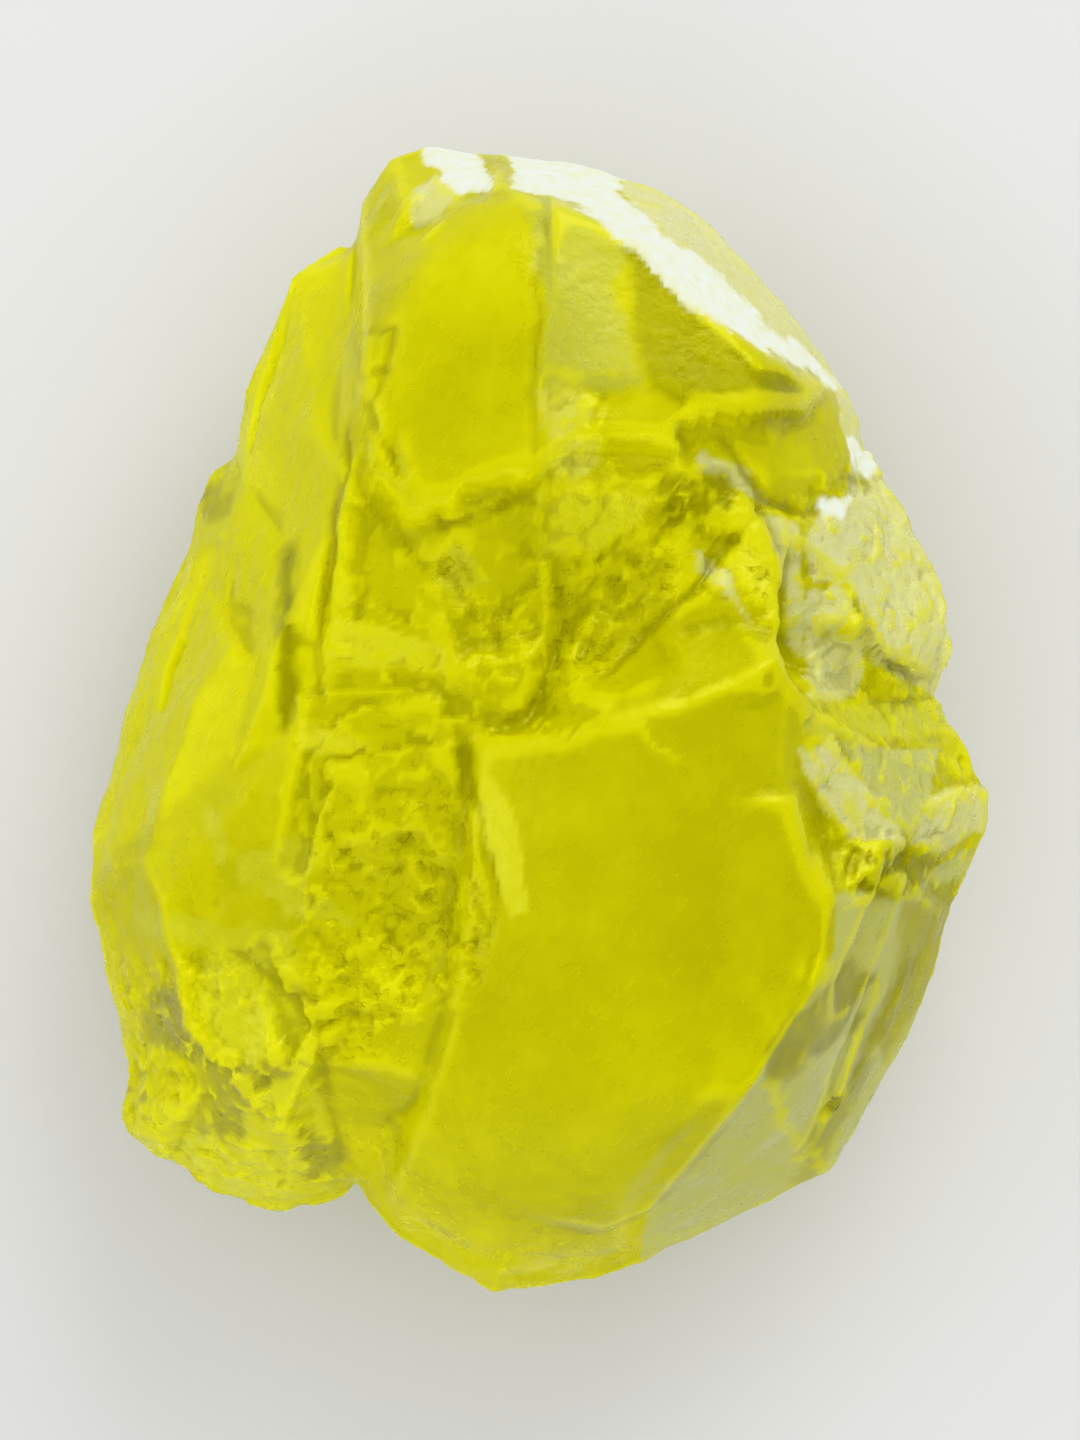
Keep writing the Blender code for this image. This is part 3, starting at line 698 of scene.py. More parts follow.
@dataclass(frozen=True)
class HalfSheet:
    """Half of the stone's surface as a square grid of lines that run out from its middle.

    The square is drawn onto a disc, each coordinate times the root of one less half the other's square, and
    the disc onto half a ball: the way out from its middle is the share of a quarter turn from the pole. The
    lines of the front then bend up towards the vertical with height, so that they also reach steep steps. To
    cast them as straight lines, the stone is widened in proportion to its height over the middle, and the
    points that are found are narrowed again.
    """

    cells: int
    pole: int
    widening: float = 0.0
    ring_steps: int = 400
    ball_size: float = 20.0
    slack: float = 0.02
    turning: Grain = Grain(3.2, 11, 4, 0.6)

    def square(self) -> Tuple[Array, Array]:
        """The grid's two coordinates from -1 to 1, each of shape (cells + 1, cells + 1)."""
        line = np.linspace(-1, 1, self.cells + 1)
        return np.meshgrid(line, line, indexing="ij")

    def widened(self, points: Array) -> Array:
        """Points widened by their height over the middle.

        Args:
            points: any number of them, with a last axis of three.

        Returns:
            The widened points.
        """
        factor = 1 + self.widening * np.maximum(points[..., 2:], 0)
        return np.concatenate([points[..., :2] * factor, points[..., 2:]], axis=-1)

    def narrowed(self, points: Array) -> Array:
        """Widened points put back.

        Args:
            points: any number of them, with a last axis of three.

        Returns:
            The points as they were.
        """
        factor = 1 + self.widening * np.maximum(points[..., 2:], 0)
        return np.concatenate([points[..., :2] / factor, points[..., 2:]], axis=-1)

    def ball(self) -> Array:
        """The place on a ball of size one of every point of the grid, shape (cells + 1, cells + 1, 3)."""
        across, up = self.square()
        disc_x = across * np.sqrt(1 - up * up / 2)
        disc_y = up * np.sqrt(1 - across * across / 2)
        ring = np.hypot(disc_x, disc_y)
        lean = ring * math.pi / 2
        flat = np.sin(lean) / np.where(ring == 0, 1, ring)
        return np.stack([flat * disc_x, flat * disc_y, self.pole * np.cos(lean)], axis=-1)

    def place(self, toward: Array) -> Tuple[Array, Array]:
        """The square's coordinates of widened points, which run past 1 beyond the rim.

        Args:
            toward: widened points, shape (n, 3).

        Returns:
            The two coordinates, each of shape (n,).
        """
        flat = np.hypot(toward[:, 0], toward[:, 1])
        lean = np.arctan2(flat, self.pole * toward[:, 2])
        rings = np.linspace(0, 1, self.ring_steps)
        steps = rings * math.pi / 2
        leans = np.arctan2(np.sin(steps) * (1 + self.widening * np.cos(steps)), np.cos(steps))
        ring = np.where(lean < math.pi / 2, np.interp(lean, leans, rings), lean / (math.pi / 2))
        disc_x = ring * toward[:, 0] / np.maximum(flat, TINY)
        disc_y = ring * toward[:, 1] / np.maximum(flat, TINY)
        return self.unbent(disc_x, disc_y), self.unbent(disc_y, disc_x)

    @staticmethod
    def unbent(own: Array, other: Array) -> Array:
        """One coordinate of the square from the disc's two.

        Args:
            own: the disc's coordinate along the same axis.
            other: its coordinate along the other axis.

        Returns:
            The square's coordinate.
        """
        whole = 2 + own * own - other * other
        slant = 2 * math.sqrt(2) * own
        return (np.sqrt(np.maximum(whole + slant, 0)) - np.sqrt(np.maximum(whole - slant, 0))) / 2

    def span(self, places: Array, pad: int) -> slice:
        """The grid lines that some places cover, with a margin.

        Args:
            places: coordinates from -1 to 1.
            pad: the margin in grid lines.

        Returns:
            The grid lines as a slice.
        """
        low = int(math.floor((places.min() + 1) / 2 * self.cells)) - pad
        high = int(math.ceil((places.max() + 1) / 2 * self.cells)) + pad + 1
        return slice(max(low, 0), min(max(high, 0), self.cells + 1))

    def cast(self, facets: Array, wobble: float) -> Array:
        """How far out the sheet's lines leave a solid, in shares of the ball.

        Every facet is laid over the part of the grid that it covers. A line's way out is the farthest
        crossing: the facet's distance along its normal over the line's share of that normal. The lines are
        turned a little by noise while they are cast, so that no edge runs dead straight.

        Args:
            facets: the solid's small triangles from its middle, shape (n, 3, 3).
            wobble: how far the lines are turned.

        Returns:
            The ways, shape (cells + 1, cells + 1).
        """
        ball = self.ball()
        turned = self.turning.shifts(ball.reshape(-1, 3) * self.ball_size, 3)
        lines = self.widened(ball + wobble * turned.reshape(ball.shape))
        wide = self.widened(facets)
        normals = np.cross(wide[:, 1] - wide[:, 0], wide[:, 2] - wide[:, 0])
        distances = np.einsum("ij,ij->i", normals, wide[:, 0])
        way = np.zeros(ball.shape[:2])
        pad = 2 + int(wobble * self.cells)
        at_across, at_up = (values.reshape(-1, 3) for values in self.place(wide.reshape(-1, 3)))
        for corners, normal, distance, across, up in zip(wide, normals, distances, at_across, at_up):
            rows, columns = self.span(across, pad), self.span(up, pad)
            if distance <= 0 or rows.start >= rows.stop or columns.start >= columns.stop:
                continue
            near = lines[rows, columns]
            slant = near @ normal
            hit = slant > TINY
            for k in range(3):
                side = near @ np.cross(corners[k], corners[(k + 1) % 3])
                hit &= side >= -self.slack * slant
            found = np.where(hit, distance / np.where(hit, slant, 1), 0)
            way[rows, columns] = np.maximum(way[rows, columns], found)
        return way


def blurred(grid: Array, rounds: int) -> Array:
    """A grid's values smoothed over their neighbours.

    Args:
        grid: values on a grid.
        rounds: how often each value becomes the mean of itself and its neighbours, weighted 2, 1 and 1.

    Returns:
        The smoothed values.
    """
    for _ in range(rounds):
        padded = np.pad(grid, 1, mode="edge")
        grid = (padded[:-2, 1:-1] + 2 * grid + padded[2:, 1:-1]) / 4
        padded = np.pad(grid, 1, mode="edge")
        grid = (padded[1:-1, :-2] + 2 * grid + padded[1:-1, 2:]) / 4
    return grid


@dataclass
class Stone:
    """The whole crystal, cast from the frame's solid and given its fine surface.

    Lines run out from the stone's middle over two half sheets. Where each leaves the solid is a point of
    the new surface. Slots that are only the solid's are filled, and its broad faces are calmed.
    """

    node: str = "sulfur_crystal"
    name: str = "sulfur_crystal_surface"
    slot: str = "sulfur"
    front: HalfSheet = HalfSheet(296, 1, 2.5)
    back: HalfSheet = HalfSheet(96, -1)
    middle: Place = (0.0, -1.0, 8.0)
    reach: Place = (19.5, 25.0, 16.0)
    facet_size: float = 0.12
    cuts: int = 4
    wobble: float = 0.010
    rounding: int = 1
    rest_height: float = 0.3
    relief_height: float = 1.5
    fill_rim: float = 0.8
    calm_rim: float = 1.0
    least_share: float = 1e-6
    rim_width: float = 1.2
    # Rounds and height of how proud a point stands, which sets the painted edge highlights and hollow shade
    proud_rounds: int = 5
    proud_height: float = 0.06
    # Heights in millimetres between which the front's marks and its cracks come in and the sides' relief goes
    mark_rise: Span = (6.0, 10.5)
    crack_rise: Span = (12.0, 14.0)
    side_rise: Span = (11.8, 14.0)
    # Marks between which broken and pitted places come in, and the noise that makes pits
    broken_rise: Span = (0.3, 0.8)
    pit_rise: Span = (0.30, 0.62)
    # The relief's noises with their heights in millimetres
    waves: Grain = Grain(6.0, 61, 3, height=0.05)
    mottle: Grain = Grain(2.2, 211, 4, 0.7, 0.012)
    growth: Grain = Grain(1.2, 64, 3, height=0.012, finer=(3.0, 0.5, 1.0))
    sides: Grain = Grain(2.2, 71, 4, 0.6, 0.16)
    frosting: Grain = Grain(0.9, 66, 3, 0.7, 0.05)
    pits: Grain = Grain(0.7, 68, 2, 0.6)
    pit_depth: float = 0.18
    warp: Grain = Grain(2.0, 51, 2, height=0.4)
    coarse: Shards = Shards(2.4, 101)
    fine: Shards = Shards(1.0, 131)
    coarse_height: float = 0.17
    fine_height: float = 0.10
    wander: Grain = Grain(1.4, 31, 3, 0.6, 0.3)
    crack_depth: float = 0.2
    # The noises of the colours: patches all over, the front's ragged marks, light and dark, and the sides
    patches: Grain = Grain(2.2, 211, 5, 0.7)
    patch_rise: Span = (-0.35, 0.65)
    ragged: Grain = Grain(1.5, 221, 4, 0.75)
    depth: Grain = Grain(8.0, 201, 4, 0.6)
    depth_rise: Span = (-0.5, 0.5)
    side_patches: Grain = Grain(9.0, 83, 3)
    side_patch_share: float = 0.3
    side_levels: Tuple[Tuple[Mark, float], ...] = ((Mark.VEIL, 0.5), (Mark.BROKEN, 0.6), (Mark.OLIVE, 0.45))

    def facets(self) -> Array:
        """The solid's triangles from its middle in shares of its reach, cut small, shape (n, 3, 3)."""
        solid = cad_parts[self.node].data
        solid.calc_loop_triangles()
        points = np.empty(len(solid.vertices) * 3)
        solid.vertices.foreach_get("co", points)
        corners = np.empty(len(solid.loop_triangles) * 3, np.int32)
        solid.loop_triangles.foreach_get("vertices", corners)
        places = (points.reshape(-1, 3) / MM - self.middle) / self.reach
        small = places[corners.reshape(-1, 3)]
        for _ in range(self.cuts):
            sides = np.linalg.norm(small - np.roll(small, 1, axis=1), axis=2).max(axis=1)
            large = small[sides > self.facet_size]
            a, b, c = large[:, 0], large[:, 1], large[:, 2]
            ab, bc, ca = (a + b) / 2, (b + c) / 2, (c + a) / 2
            quarters = [(a, ab, ca), (ab, b, bc), (ca, bc, c), (ab, bc, ca)]
            cut = [np.stack(quarter, axis=1) for quarter in quarters]
            small = np.concatenate([small[sides <= self.facet_size]] + cut)
        return small

    def points(self, sheet: HalfSheet, way: Array) -> Array:
        """The places in millimetres of a sheet's points.

        Args:
            sheet: the half sheet.
            way: how far out each point is, as its cast gives it.

        Returns:
            Points, shape (cells + 1, cells + 1, 3).
        """
        return sheet.narrowed(way[..., None] * sheet.widened(sheet.ball())) * self.reach + self.middle

    def shaped(self, way: Array) -> Array:
        """The front's ways out with slots filled and broad faces calmed.

        Args:
            way: how far out each point is.

        Returns:
            The new ways.
        """
        flat = self.points(self.front, way)[..., :2].reshape(-1, 2)
        for outline, rounds in FILLED:
            share = smooth_step(-self.fill_rim, self.fill_rim, inside(flat, outline)).reshape(way.shape)
            way = way + share * np.maximum(blurred(way, rounds) - way, 0)
        for outline, rounds in CALMED:
            deep = inside(flat, outline).reshape(way.shape)
            within = (deep > 0).astype(float)
            smooth = blurred(way * within, rounds) / np.maximum(blurred(within, rounds), self.least_share)
            way = way + smooth_step(0.0, self.calm_rim, deep) * within * (smooth - way)
        return way

    def skin(self) -> Skin:
        """Casts both half sheets and joins them along their rims."""
        facets = self.facets()
        LOG.info("casting %d facets", len(facets))
        front_way = self.front.cast(facets, self.wobble)
        back_way = self.back.cast(facets, self.wobble)
        front = self.points(self.front, self.shaped(front_way))
        back = self.points(self.back, back_way)[1:-1, 1:-1]
        front_ids = np.arange(front.size // 3).reshape(front.shape[:2])
        back_ids = front_ids.size + np.arange(back.size // 3).reshape(back.shape[:2])
        triangles = [
            self.grid_triangles(front_ids),
            self.grid_triangles(back_ids)[:, ::-1],
            self.zipped(self.rim(front_ids), self.rim(back_ids)),
        ]
        points = np.concatenate([front.reshape(-1, 3), back.reshape(-1, 3)])
        return Skin(points, np.concatenate(triangles))

    @staticmethod
    def grid_triangles(ids: Array) -> Array:
        """Two triangles for each cell of a grid of point numbers, shape (n, 3)."""
        a, b, c, d = ids[:-1, :-1], ids[1:, :-1], ids[1:, 1:], ids[:-1, 1:]
        halves = [np.stack([a, b, c], axis=-1), np.stack([a, c, d], axis=-1)]
        return np.concatenate([half.reshape(-1, 3) for half in halves])

    @staticmethod
    def rim(ids: Array) -> Array:
        """The point numbers round a grid's rim, once round from its first corner."""
        return np.concatenate([ids[:-1, 0], ids[-1, :-1], ids[:0:-1, -1], ids[0, :0:-1]])

    @staticmethod
    def zipped(outer: Array, inner: Array) -> Array:
        """A ring of triangles between two closed lines that start at the same corner.

        Each side of the outer line gets the inner point at the same share of the way round, and each side
        of the inner line gets the outer point where that inner point changes.

        Args:
            outer: point numbers of the longer line.
            inner: point numbers of the shorter line.

        Returns:
            Triangles, shape (n, 3).
        """
        many, few = len(outer), len(inner)
        partner = np.round((np.arange(many) + 0.5) * few / many - 0.5).astype(int)
        first = np.searchsorted(partner, np.arange(1, few + 1))
        sides = np.stack([outer, inner[partner % few], outer[(np.arange(many) + 1) % many]], axis=1)
        steps = np.stack([inner, inner[(np.arange(few) + 1) % few], outer[first % many]], axis=1)
        return np.concatenate([sides, steps])

    def marked(self, skin: Skin) -> None:
        """Works out every mark of the front over the skin and keeps it there."""
        above = smooth_step(*self.mark_rise, skin.points[:, 2])
        skin.marks = {mark.value: np.zeros(len(skin.points)) for mark in Mark}
        for mark, outline in AREAS:
            values = np.clip(0.5 + inside(skin.points[:, :2], outline) / self.rim_width, 0, 1) * above
            skin.marks[mark.value] = np.maximum(skin.marks[mark.value], values)
        patchy = self.side_patches.over(skin.points) * self.side_patch_share
        for mark, level in self.side_levels:
            skin.marks[mark.value] = np.maximum(skin.marks[mark.value], (level + patchy) * (1 - above))

    def relief(self, skin: Skin) -> Array:
        """The height of the fine surface over the cast one, in millimetres.

        Broken places have shards of two sizes, pitted places have pits, and all of the stone has slow waves,
        fine growth lines along its length, cracks and the lips of thin layers.
        """
        points = skin.points
        broken = smooth_step(*self.broken_rise, skin.marks[Mark.BROKEN.value])
        pitted = smooth_step(*self.broken_rise, skin.marks[Mark.PITTED.value])
        warped = points + self.warp.shifts(points, 3)
        fine = self.fine.over(warped)
        skin.marks["flake"] = fine * broken
        height = self.waves.over(points) + self.mottle.over(points) + self.growth.over(points)
        height += (1 - smooth_step(*self.side_rise, points[:, 2])) * self.sides.over(points)
        height += broken * (self.coarse_height * self.coarse.over(warped) + self.fine_height * fine)
        height += skin.marks[Mark.PAINTED_HIGHLIGHT.value] * self.frosting.over(points)
        height -= pitted * self.pit_depth * smooth_step(*self.pit_rise, self.pits.over(points))
        front = smooth_step(*self.crack_rise, points[:, 2])
        flat = points[:, :2] + self.wander.shifts(points, 2)
        cracks = sum(crack.over(flat) for crack in CRACKS) * front
        skin.marks["crack"] = np.clip(-cracks / self.crack_depth, 0, 1)
        height += cracks
        height += sum(lip.over(flat) for lip in LIPS) * front
        return height

    def tinted(self, skin: Skin) -> None:
        """Works out the share of every tint over the skin, and of the stone's own light and dark."""
        points = skin.points
        patches = smooth_step(*self.patch_rise, self.patches.over(points))
        ragged = self.ragged.over(points)
        skin.marks["depth"] = smooth_step(*self.depth_rise, self.depth.over(points))
        skin.marks["patches"] = patches
        for tint in TINTS:
            mark = skin.marks[tint.mark.value]
            edge = mark + 4 * mark * (1 - mark) * ragged * tint.ragged
            share = smooth_step(0.5 - tint.soft, 0.5 + tint.soft, edge)
            skin.marks[tint.mark.value] = share * tint.strength * (1 - tint.patchy * patches)

    def proud(self, skin: Skin) -> Array:
        """How far each point stands over its surroundings, from -1 in a hollow to 1 on an edge.

        The surroundings are the surface smoothed a few rounds, and the way is measured along the normal.
        """
        smoothed = skin.points
        for _ in range(self.proud_rounds):
            smoothed = skin.mean_of_neighbours(smoothed)
        way = np.einsum("ij,ij->i", skin.points - smoothed, skin.normals())
        return np.clip(way / self.proud_height, -1, 1)

    def build(self) -> bpy.types.Object:
        """Casts, rounds, marks and roughens the stone, and stands it in for the plain solid."""
        skin = self.skin()
        LOG.info("cast %d points, %d triangles", len(skin.points), len(skin.triangles))
        flat = skin.points[:, 2] < self.rest_height
        for facet in FLATS:
            skin.points[:, 2] = facet.laid(skin.points)
        skin.relax(self.rounding)
        self.marked(skin)
        above_rest = smooth_step(self.rest_height, self.relief_height, skin.points[:, 2])
        skin.points = skin.points + skin.normals() * (self.relief(skin) * above_rest)[:, None]
        # How proud each point stands; the material paints highlights on edges and shade in hollows from it
        skin.marks["edge_and_hollow"] = self.proud(skin)
        self.tinted(skin)
        skin.points[:, 2] = np.where(flat, 0.0, np.maximum(skin.points[:, 2], 0.0))
        stone = skin.mesh(self.name)
        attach(stone, "root")
        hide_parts(self.node)
        return stone


# Shader maths


class Shade:
    """A number, colour or vector on its way through a material's nodes."""

    def __init__(self, nodes: "Nodes", socket: bpy.types.NodeSocket) -> None:
        """Keeps the material's nodes and the output that carries the value."""
        self.nodes = nodes
        self.socket = socket

    def math(self, operation: str, *others: Union["Shade", Number]) -> "Shade":
        """A Math node on this value and others."""
        values = dict(enumerate((self,) + others))
        return self.nodes.node("ShaderNodeMath", {"operation": operation}, values)

    def __add__(self, other: Union["Shade", Number]) -> "Shade":
        """This plus other."""
        return self.math("ADD", other)

    def __sub__(self, other: Union["Shade", Number]) -> "Shade":
        """This minus other."""
        return self.math("SUBTRACT", other)

    def __rsub__(self, other: Number) -> "Shade":
        """Other minus this."""
        return (self * -1) + other

    def __mul__(self, other: Union["Shade", Number]) -> "Shade":
        """This times other."""
        return self.math("MULTIPLY", other)

    __radd__ = __add__
    __rmul__ = __mul__

    def clamped(self) -> "Shade":
        """This, kept from 0 to 1."""
        return self.nodes.node("ShaderNodeClamp", {}, {"Value": self})

    def rise(self, low: Number, high: Number) -> "Shade":
        """0 below low and 1 above high, with a smooth rise between them."""
        values = {"Value": self, "From Min": low, "From Max": high}
        return self.nodes.node("ShaderNodeMapRange", {"interpolation_type": "SMOOTHSTEP"}, values)


@dataclass(frozen=True)
class Coat:
    """How a colour comes in over another: where a value rises from low to high, up to a share."""

    low: float
    high: float
    share: float


class Nodes:
    """The nodes of one material, made and linked by name."""

    def __init__(self, name: str) -> None:
        """Makes a new material with an output and nothing else."""
        self.material = bpy.data.materials.new(name)
        self.material.use_nodes = True
        self.tree = self.material.node_tree
        self.tree.nodes.clear()

    def node(
        self,
        kind: str,
        settings: Dict[str, object],
        values: Dict[Union[str, int], object],
        output: Union[str, int] = 0,
    ) -> Shade:
        """Makes a node.

        Args:
            kind: the node's type.
            settings: its own settings, which are set first.
            values: a value or a link for each of its sockets, by name or number.
            output: the socket that is given back.

        Returns:
            The node's output.
        """
        made = self.tree.nodes.new(kind)
        for key, value in settings.items():
            setattr(made, key, value)
        for key, value in values.items():
            socket = made.inputs[key]
            if isinstance(value, Shade):
                self.tree.links.new(value.socket, socket)
            elif isinstance(value, tuple) and len(value) == 3 and socket.type == "RGBA":
                socket.default_value = (*value, 1.0)
            else:
                socket.default_value = value
        return Shade(self, made.outputs[output]) if made.outputs else Shade(self, None)

    def mixed(self, below: Union[Shade, Colour], above: Colour, share: Shade) -> Shade:
        """A colour between two, by share."""
        settings = {"data_type": "RGBA", "clamp_factor": True}
        return self.node("ShaderNodeMix", settings, {0: share, 6: below, 7: above}, 2)

    def coated(self, below: Union[Shade, Colour], above: Colour, coat: Coat, value: Shade) -> Shade:
        """A colour with another over it where a value is high."""
        return self.mixed(below, above, value.rise(coat.low, coat.high) * coat.share)

    def mark(self, name: str) -> Shade:
        """A value that the mesh holds for each point."""
        return self.node("ShaderNodeAttribute", {"attribute_name": name}, {}, "Fac")

    def place(self) -> Shade:
        """The place on the object, in metres."""
        return self.node("ShaderNodeTexCoord", {}, {}, "Object")

    def speckle(self, size: float, detail: float, rough: float) -> Shade:
        """Noise over the object.

        Args:
            size: the width of its largest spots in metres.
            detail: how many finer layers it has.
            rough: how strong the finer layers are.

        Returns:
            Values of about 0 to 1.
        """
        values = {"Vector": self.place(), "Scale": 1 / size, "Detail": detail, "Roughness": rough}
        return self.node("ShaderNodeTexNoise", {}, values, "Fac")


@dataclass(frozen=True)
class SulfurFinish:
    """Translucent yellow sulfur: clear and glassy, and pale and opaque where a highlight is painted on the
    upper right band.
    """

    deep: Colour = (0.64, 0.62, 0.001)
    yellow: Colour = (0.76, 0.74, 0.002)
    bright: Colour = (0.98, 0.96, 0.01)
    bright_share: float = 0.3
    flakes: Coat = Coat(0.15, 0.5, 0.5)
    specks: Coat = Coat(0.4, 0.8, 0.25)
    hole: Colour = (0.64, 0.60, 0.001)
    hole_rise: Span = (0.58, 0.68)
    hole_share: float = 0.5
    dark_crack_and_hollow_shade: Colour = (0.34, 0.31, 0.01)
    crevice_share: float = 0.5
    # Painted light: proud edges coloured brighter as a highlight, and hollows coloured darker as shade
    painted_edge_highlight: Coat = Coat(0.25, 1.1, 0.6)
    painted_hollow_shade: Coat = Coat(-0.4, -1.2, 0.35)
    # The painted highlight's own opaque shader: white with darker specks
    highlight_white: Colour = (0.70, 0.75, 0.66)
    highlight_speck_colour: Colour = (0.56, 0.58, 0.34)
    highlight_specks: Coat = Coat(0.35, 0.75, 0.8)
    highlight_rough: float = 0.5
    speck_size: float = 0.0006
    speck_detail: float = 2.0
    speck_rough: float = 0.5
    rough: float = 0.24
    patch_rough: float = 0.2
    rim_rough: float = 0.3
    bump_whole: float = 0.4
    bump_broken: float = 0.6
    bump_strength: float = 0.6
    bump_height: float = 0.00025
    index: float = 1.6
    shine: float = 0.25
    sheen_tint: Colour = (1.0, 0.97, 0.22)
    clear: float = 0.55
    scatter: float = 0.5
    scatter_reach: float = 0.0015
    scatter_colours: Colour = (1.0, 0.95, 0.12)
    absorb: Colour = (0.975, 0.97, 0.05)
    absorb_density: float = 100.0

    def material(self) -> bpy.types.Material:
        """Builds the material from the stone's marks and fine noise."""
        nodes = Nodes("sulfur")
        fine = nodes.speckle(self.speck_size, self.speck_detail, self.speck_rough)
        patches = nodes.mark("patches")
        holes = nodes.mark(Mark.PITTED.value) * fine.rise(*self.hole_rise)
        edge_and_hollow = nodes.mark("edge_and_hollow")
        painted_highlight = nodes.mark(Mark.PAINTED_HIGHLIGHT.value)
        colour = nodes.mixed(self.deep, self.yellow, nodes.mark("depth"))
        colour = nodes.mixed(colour, self.bright, patches * self.bright_share)
        for tint in TINTS:
            colour = nodes.mixed(colour, tint.colour, nodes.mark(tint.mark.value))
        colour = nodes.coated(colour, self.bright, self.flakes, nodes.mark("flake"))
        colour = nodes.coated(colour, self.deep, self.specks, fine)
        colour = nodes.mixed(colour, self.hole, holes * self.hole_share)
        colour = nodes.mixed(colour, self.dark_crack_and_hollow_shade, nodes.mark("crack") * self.crevice_share)
        # Painted highlights on proud edges and painted shade in hollows
        colour = nodes.coated(colour, self.bright, self.painted_edge_highlight, edge_and_hollow)
        colour = nodes.coated(colour, self.dark_crack_and_hollow_shade, self.painted_hollow_shade, edge_and_hollow)
        rough = self.rough + self.patch_rough * patches + painted_highlight * self.rim_rough
        height = fine * (self.bump_whole + self.bump_broken * nodes.mark(Mark.BROKEN.value)) - holes
        values = {"Strength": self.bump_strength, "Distance": self.bump_height, "Height": height}
        bump = nodes.node("ShaderNodeBump", {}, values, "Normal")
        whole = nodes.node(
            "ShaderNodeBsdfPrincipled",
            {"subsurface_method": "RANDOM_WALK"},
            {
                "Base Color": colour,
                "Roughness": rough.clamped(),
                "IOR": self.index,
                "Specular IOR Level": self.shine,
                "Specular Tint": self.sheen_tint,
                "Transmission Weight": self.clear,
                "Subsurface Weight": self.scatter,
                "Subsurface Radius": self.scatter_colours,
                "Subsurface Scale": self.scatter_reach,
                "Normal": bump,
            },
        )
        # Painted highlight: an opaque white shader takes over on the upper right band
        speckled = nodes.coated(self.highlight_white, self.highlight_speck_colour, self.highlight_specks, fine)
        values = {"Base Color": speckled, "Roughness": self.highlight_rough, "Normal": bump}
        highlight_shader = nodes.node("ShaderNodeBsdfPrincipled", {}, values)
        shader = nodes.node("ShaderNodeMixShader", {}, {0: painted_highlight, 1: whole, 2: highlight_shader})
        values = {"Color": self.absorb, "Density": self.absorb_density}
        volume = nodes.node("ShaderNodeVolumeAbsorption", {}, values)
        nodes.node("ShaderNodeOutputMaterial", {}, {"Surface": shader, "Volume": volume})
        return nodes.material


# The studio


@dataclass(frozen=True)
class Lamp:
    """A soft square light that looks at the stone. Its place is in metres."""

    name: str
    place: Place
    side: float
    power: float
    target: Place = (0.0, 0.0, 0.012)

    def hang(self) -> None:
        """Puts the light into the scene, turned towards the stone."""
        data = bpy.data.lights.new(self.name, "AREA")
        data.shape = "SQUARE"
        data.size = self.side
        data.energy = self.power
        lamp = bpy.data.objects.new(self.name, data)
        aim_at(lamp, self.place, self.target)
        bpy.context.scene.collection.objects.link(lamp)


def aim_at(thing: bpy.types.Object, place: Sequence[float], target: Sequence[float]) -> None:
    """Puts a light or camera at a place and turns it to a target, with its upper side towards +Y.

    Args:
        thing: the light or camera.
        place: where it goes, in metres.
        target: what it looks at.
    """
    back = np.array(place, float) - np.array(target, float)
    back /= np.linalg.norm(back)
    up = np.array((0.0, 1.0, 0.0))
    right = np.cross(up, back)
    right /= np.linalg.norm(right)
    turned = np.stack([right, np.cross(back, right), back], axis=1)
    matrix = np.eye(4)
    matrix[:3, :3] = turned
    matrix[:3, 3] = place
    thing.matrix_world = Matrix(matrix.tolist())


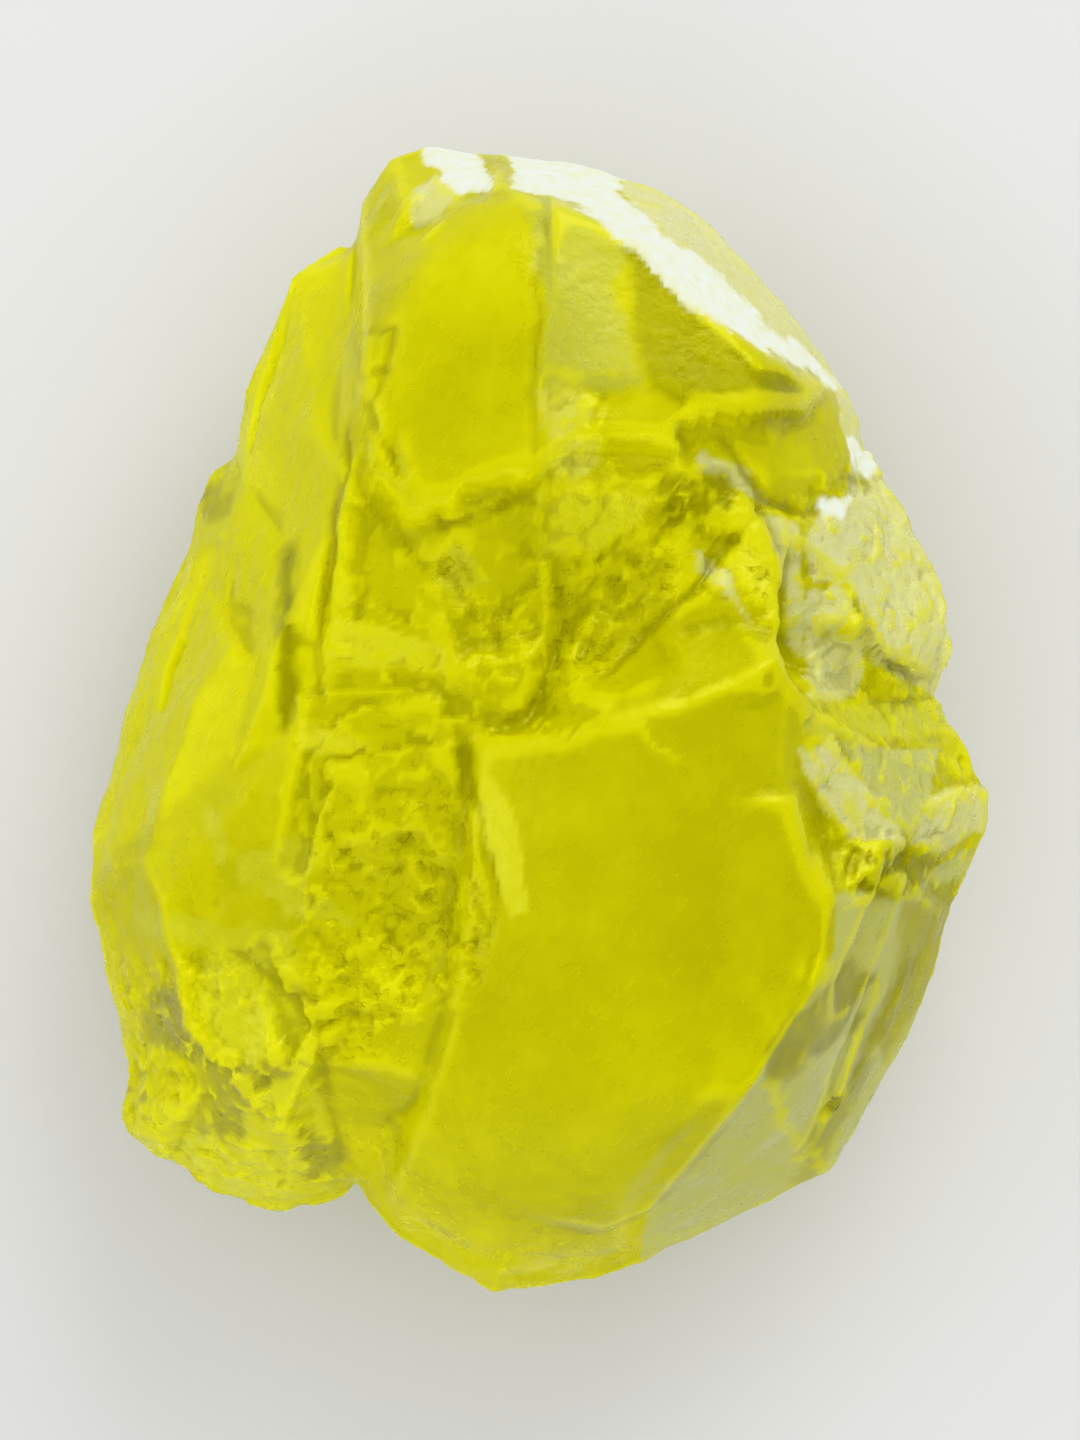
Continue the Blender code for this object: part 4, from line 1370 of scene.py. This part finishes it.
@dataclass
class Studio:
    """A plain pale floor, soft lights and the camera that looks down on the stone as the photograph does."""

    frame_height: float = 0.063
    lens: float = 200.0
    sensor: float = 36.0
    clip: Span = (0.01, 10.0)
    outline_height: float = 0.0115
    floor_side: float = 1.5
    floor_colour: Colour = (0.52, 0.52, 0.515)
    floor_rough: float = 0.8
    world_light: float = 1.14
    lamps: Tuple[Lamp, ...] = (
        Lamp("key", (0.12, 0.31, 0.20), 0.3, 1.25),
        Lamp("left", (-0.38, 0.06, 0.14), 0.3, 0.45),
        Lamp("near", (-0.06, -0.36, 0.16), 0.5, 0.8),
    )

    def floor(self) -> None:
        """A wide pale sheet at the height that the stone rests on."""
        side = self.floor_side
        made = bpy.data.meshes.new("floor")
        corners = [(-side, -side, 0), (side, -side, 0), (side, side, 0), (-side, side, 0)]
        made.from_pydata(corners, [], [(0, 1, 2, 3)])
        floor = bpy.data.objects.new("floor", made)
        bpy.context.scene.collection.objects.link(floor)
        nodes = Nodes("floor")
        values = {"Base Color": self.floor_colour, "Roughness": self.floor_rough}
        shader = nodes.node("ShaderNodeBsdfPrincipled", {}, values)
        nodes.node("ShaderNodeOutputMaterial", {}, {"Surface": shader})
        made.materials.append(nodes.material)

    def world(self) -> None:
        """An even dim light from all round."""
        world = bpy.data.worlds.new("studio")
        world.use_nodes = True
        light = world.node_tree.nodes["Background"]
        light.inputs["Color"].default_value = (1.0, 1.0, 1.0, 1.0)
        light.inputs["Strength"].default_value = self.world_light
        bpy.context.scene.world = world

    def camera(self) -> None:
        """The camera straight above the stone, as far off as its lens needs for the photograph's frame."""
        data = bpy.data.cameras.new("camera")
        data.lens = self.lens
        data.sensor_width = self.sensor
        away = self.frame_height * self.lens / self.sensor
        camera = bpy.data.objects.new("camera", data)
        aim_at(camera, (0.0, 0.0, self.outline_height + away), (0.0, 0.0, self.outline_height))
        data.clip_start, data.clip_end = self.clip
        bpy.context.scene.collection.objects.link(camera)
        bpy.context.scene.camera = camera

    def build(self) -> None:
        """Makes the floor, the world, the lights and the camera."""
        self.floor()
        self.world()
        for lamp in self.lamps:
            lamp.hang()
        self.camera()
        bpy.context.scene.view_settings.view_transform = "Khronos PBR Neutral"


def main() -> None:
    """Builds the stone and its studio, and reports each piece."""
    logging.basicConfig(level=logging.INFO, format="%(name)s: %(message)s")
    stone = Stone().build()
    stone.data.materials.append(SulfurFinish().material())
    LOG.info("%s: %d faces", stone.name, len(stone.data.polygons))
    Studio().build()
    LOG.info("studio: floor, lights and camera")


if __name__ == "__main__":
    main()
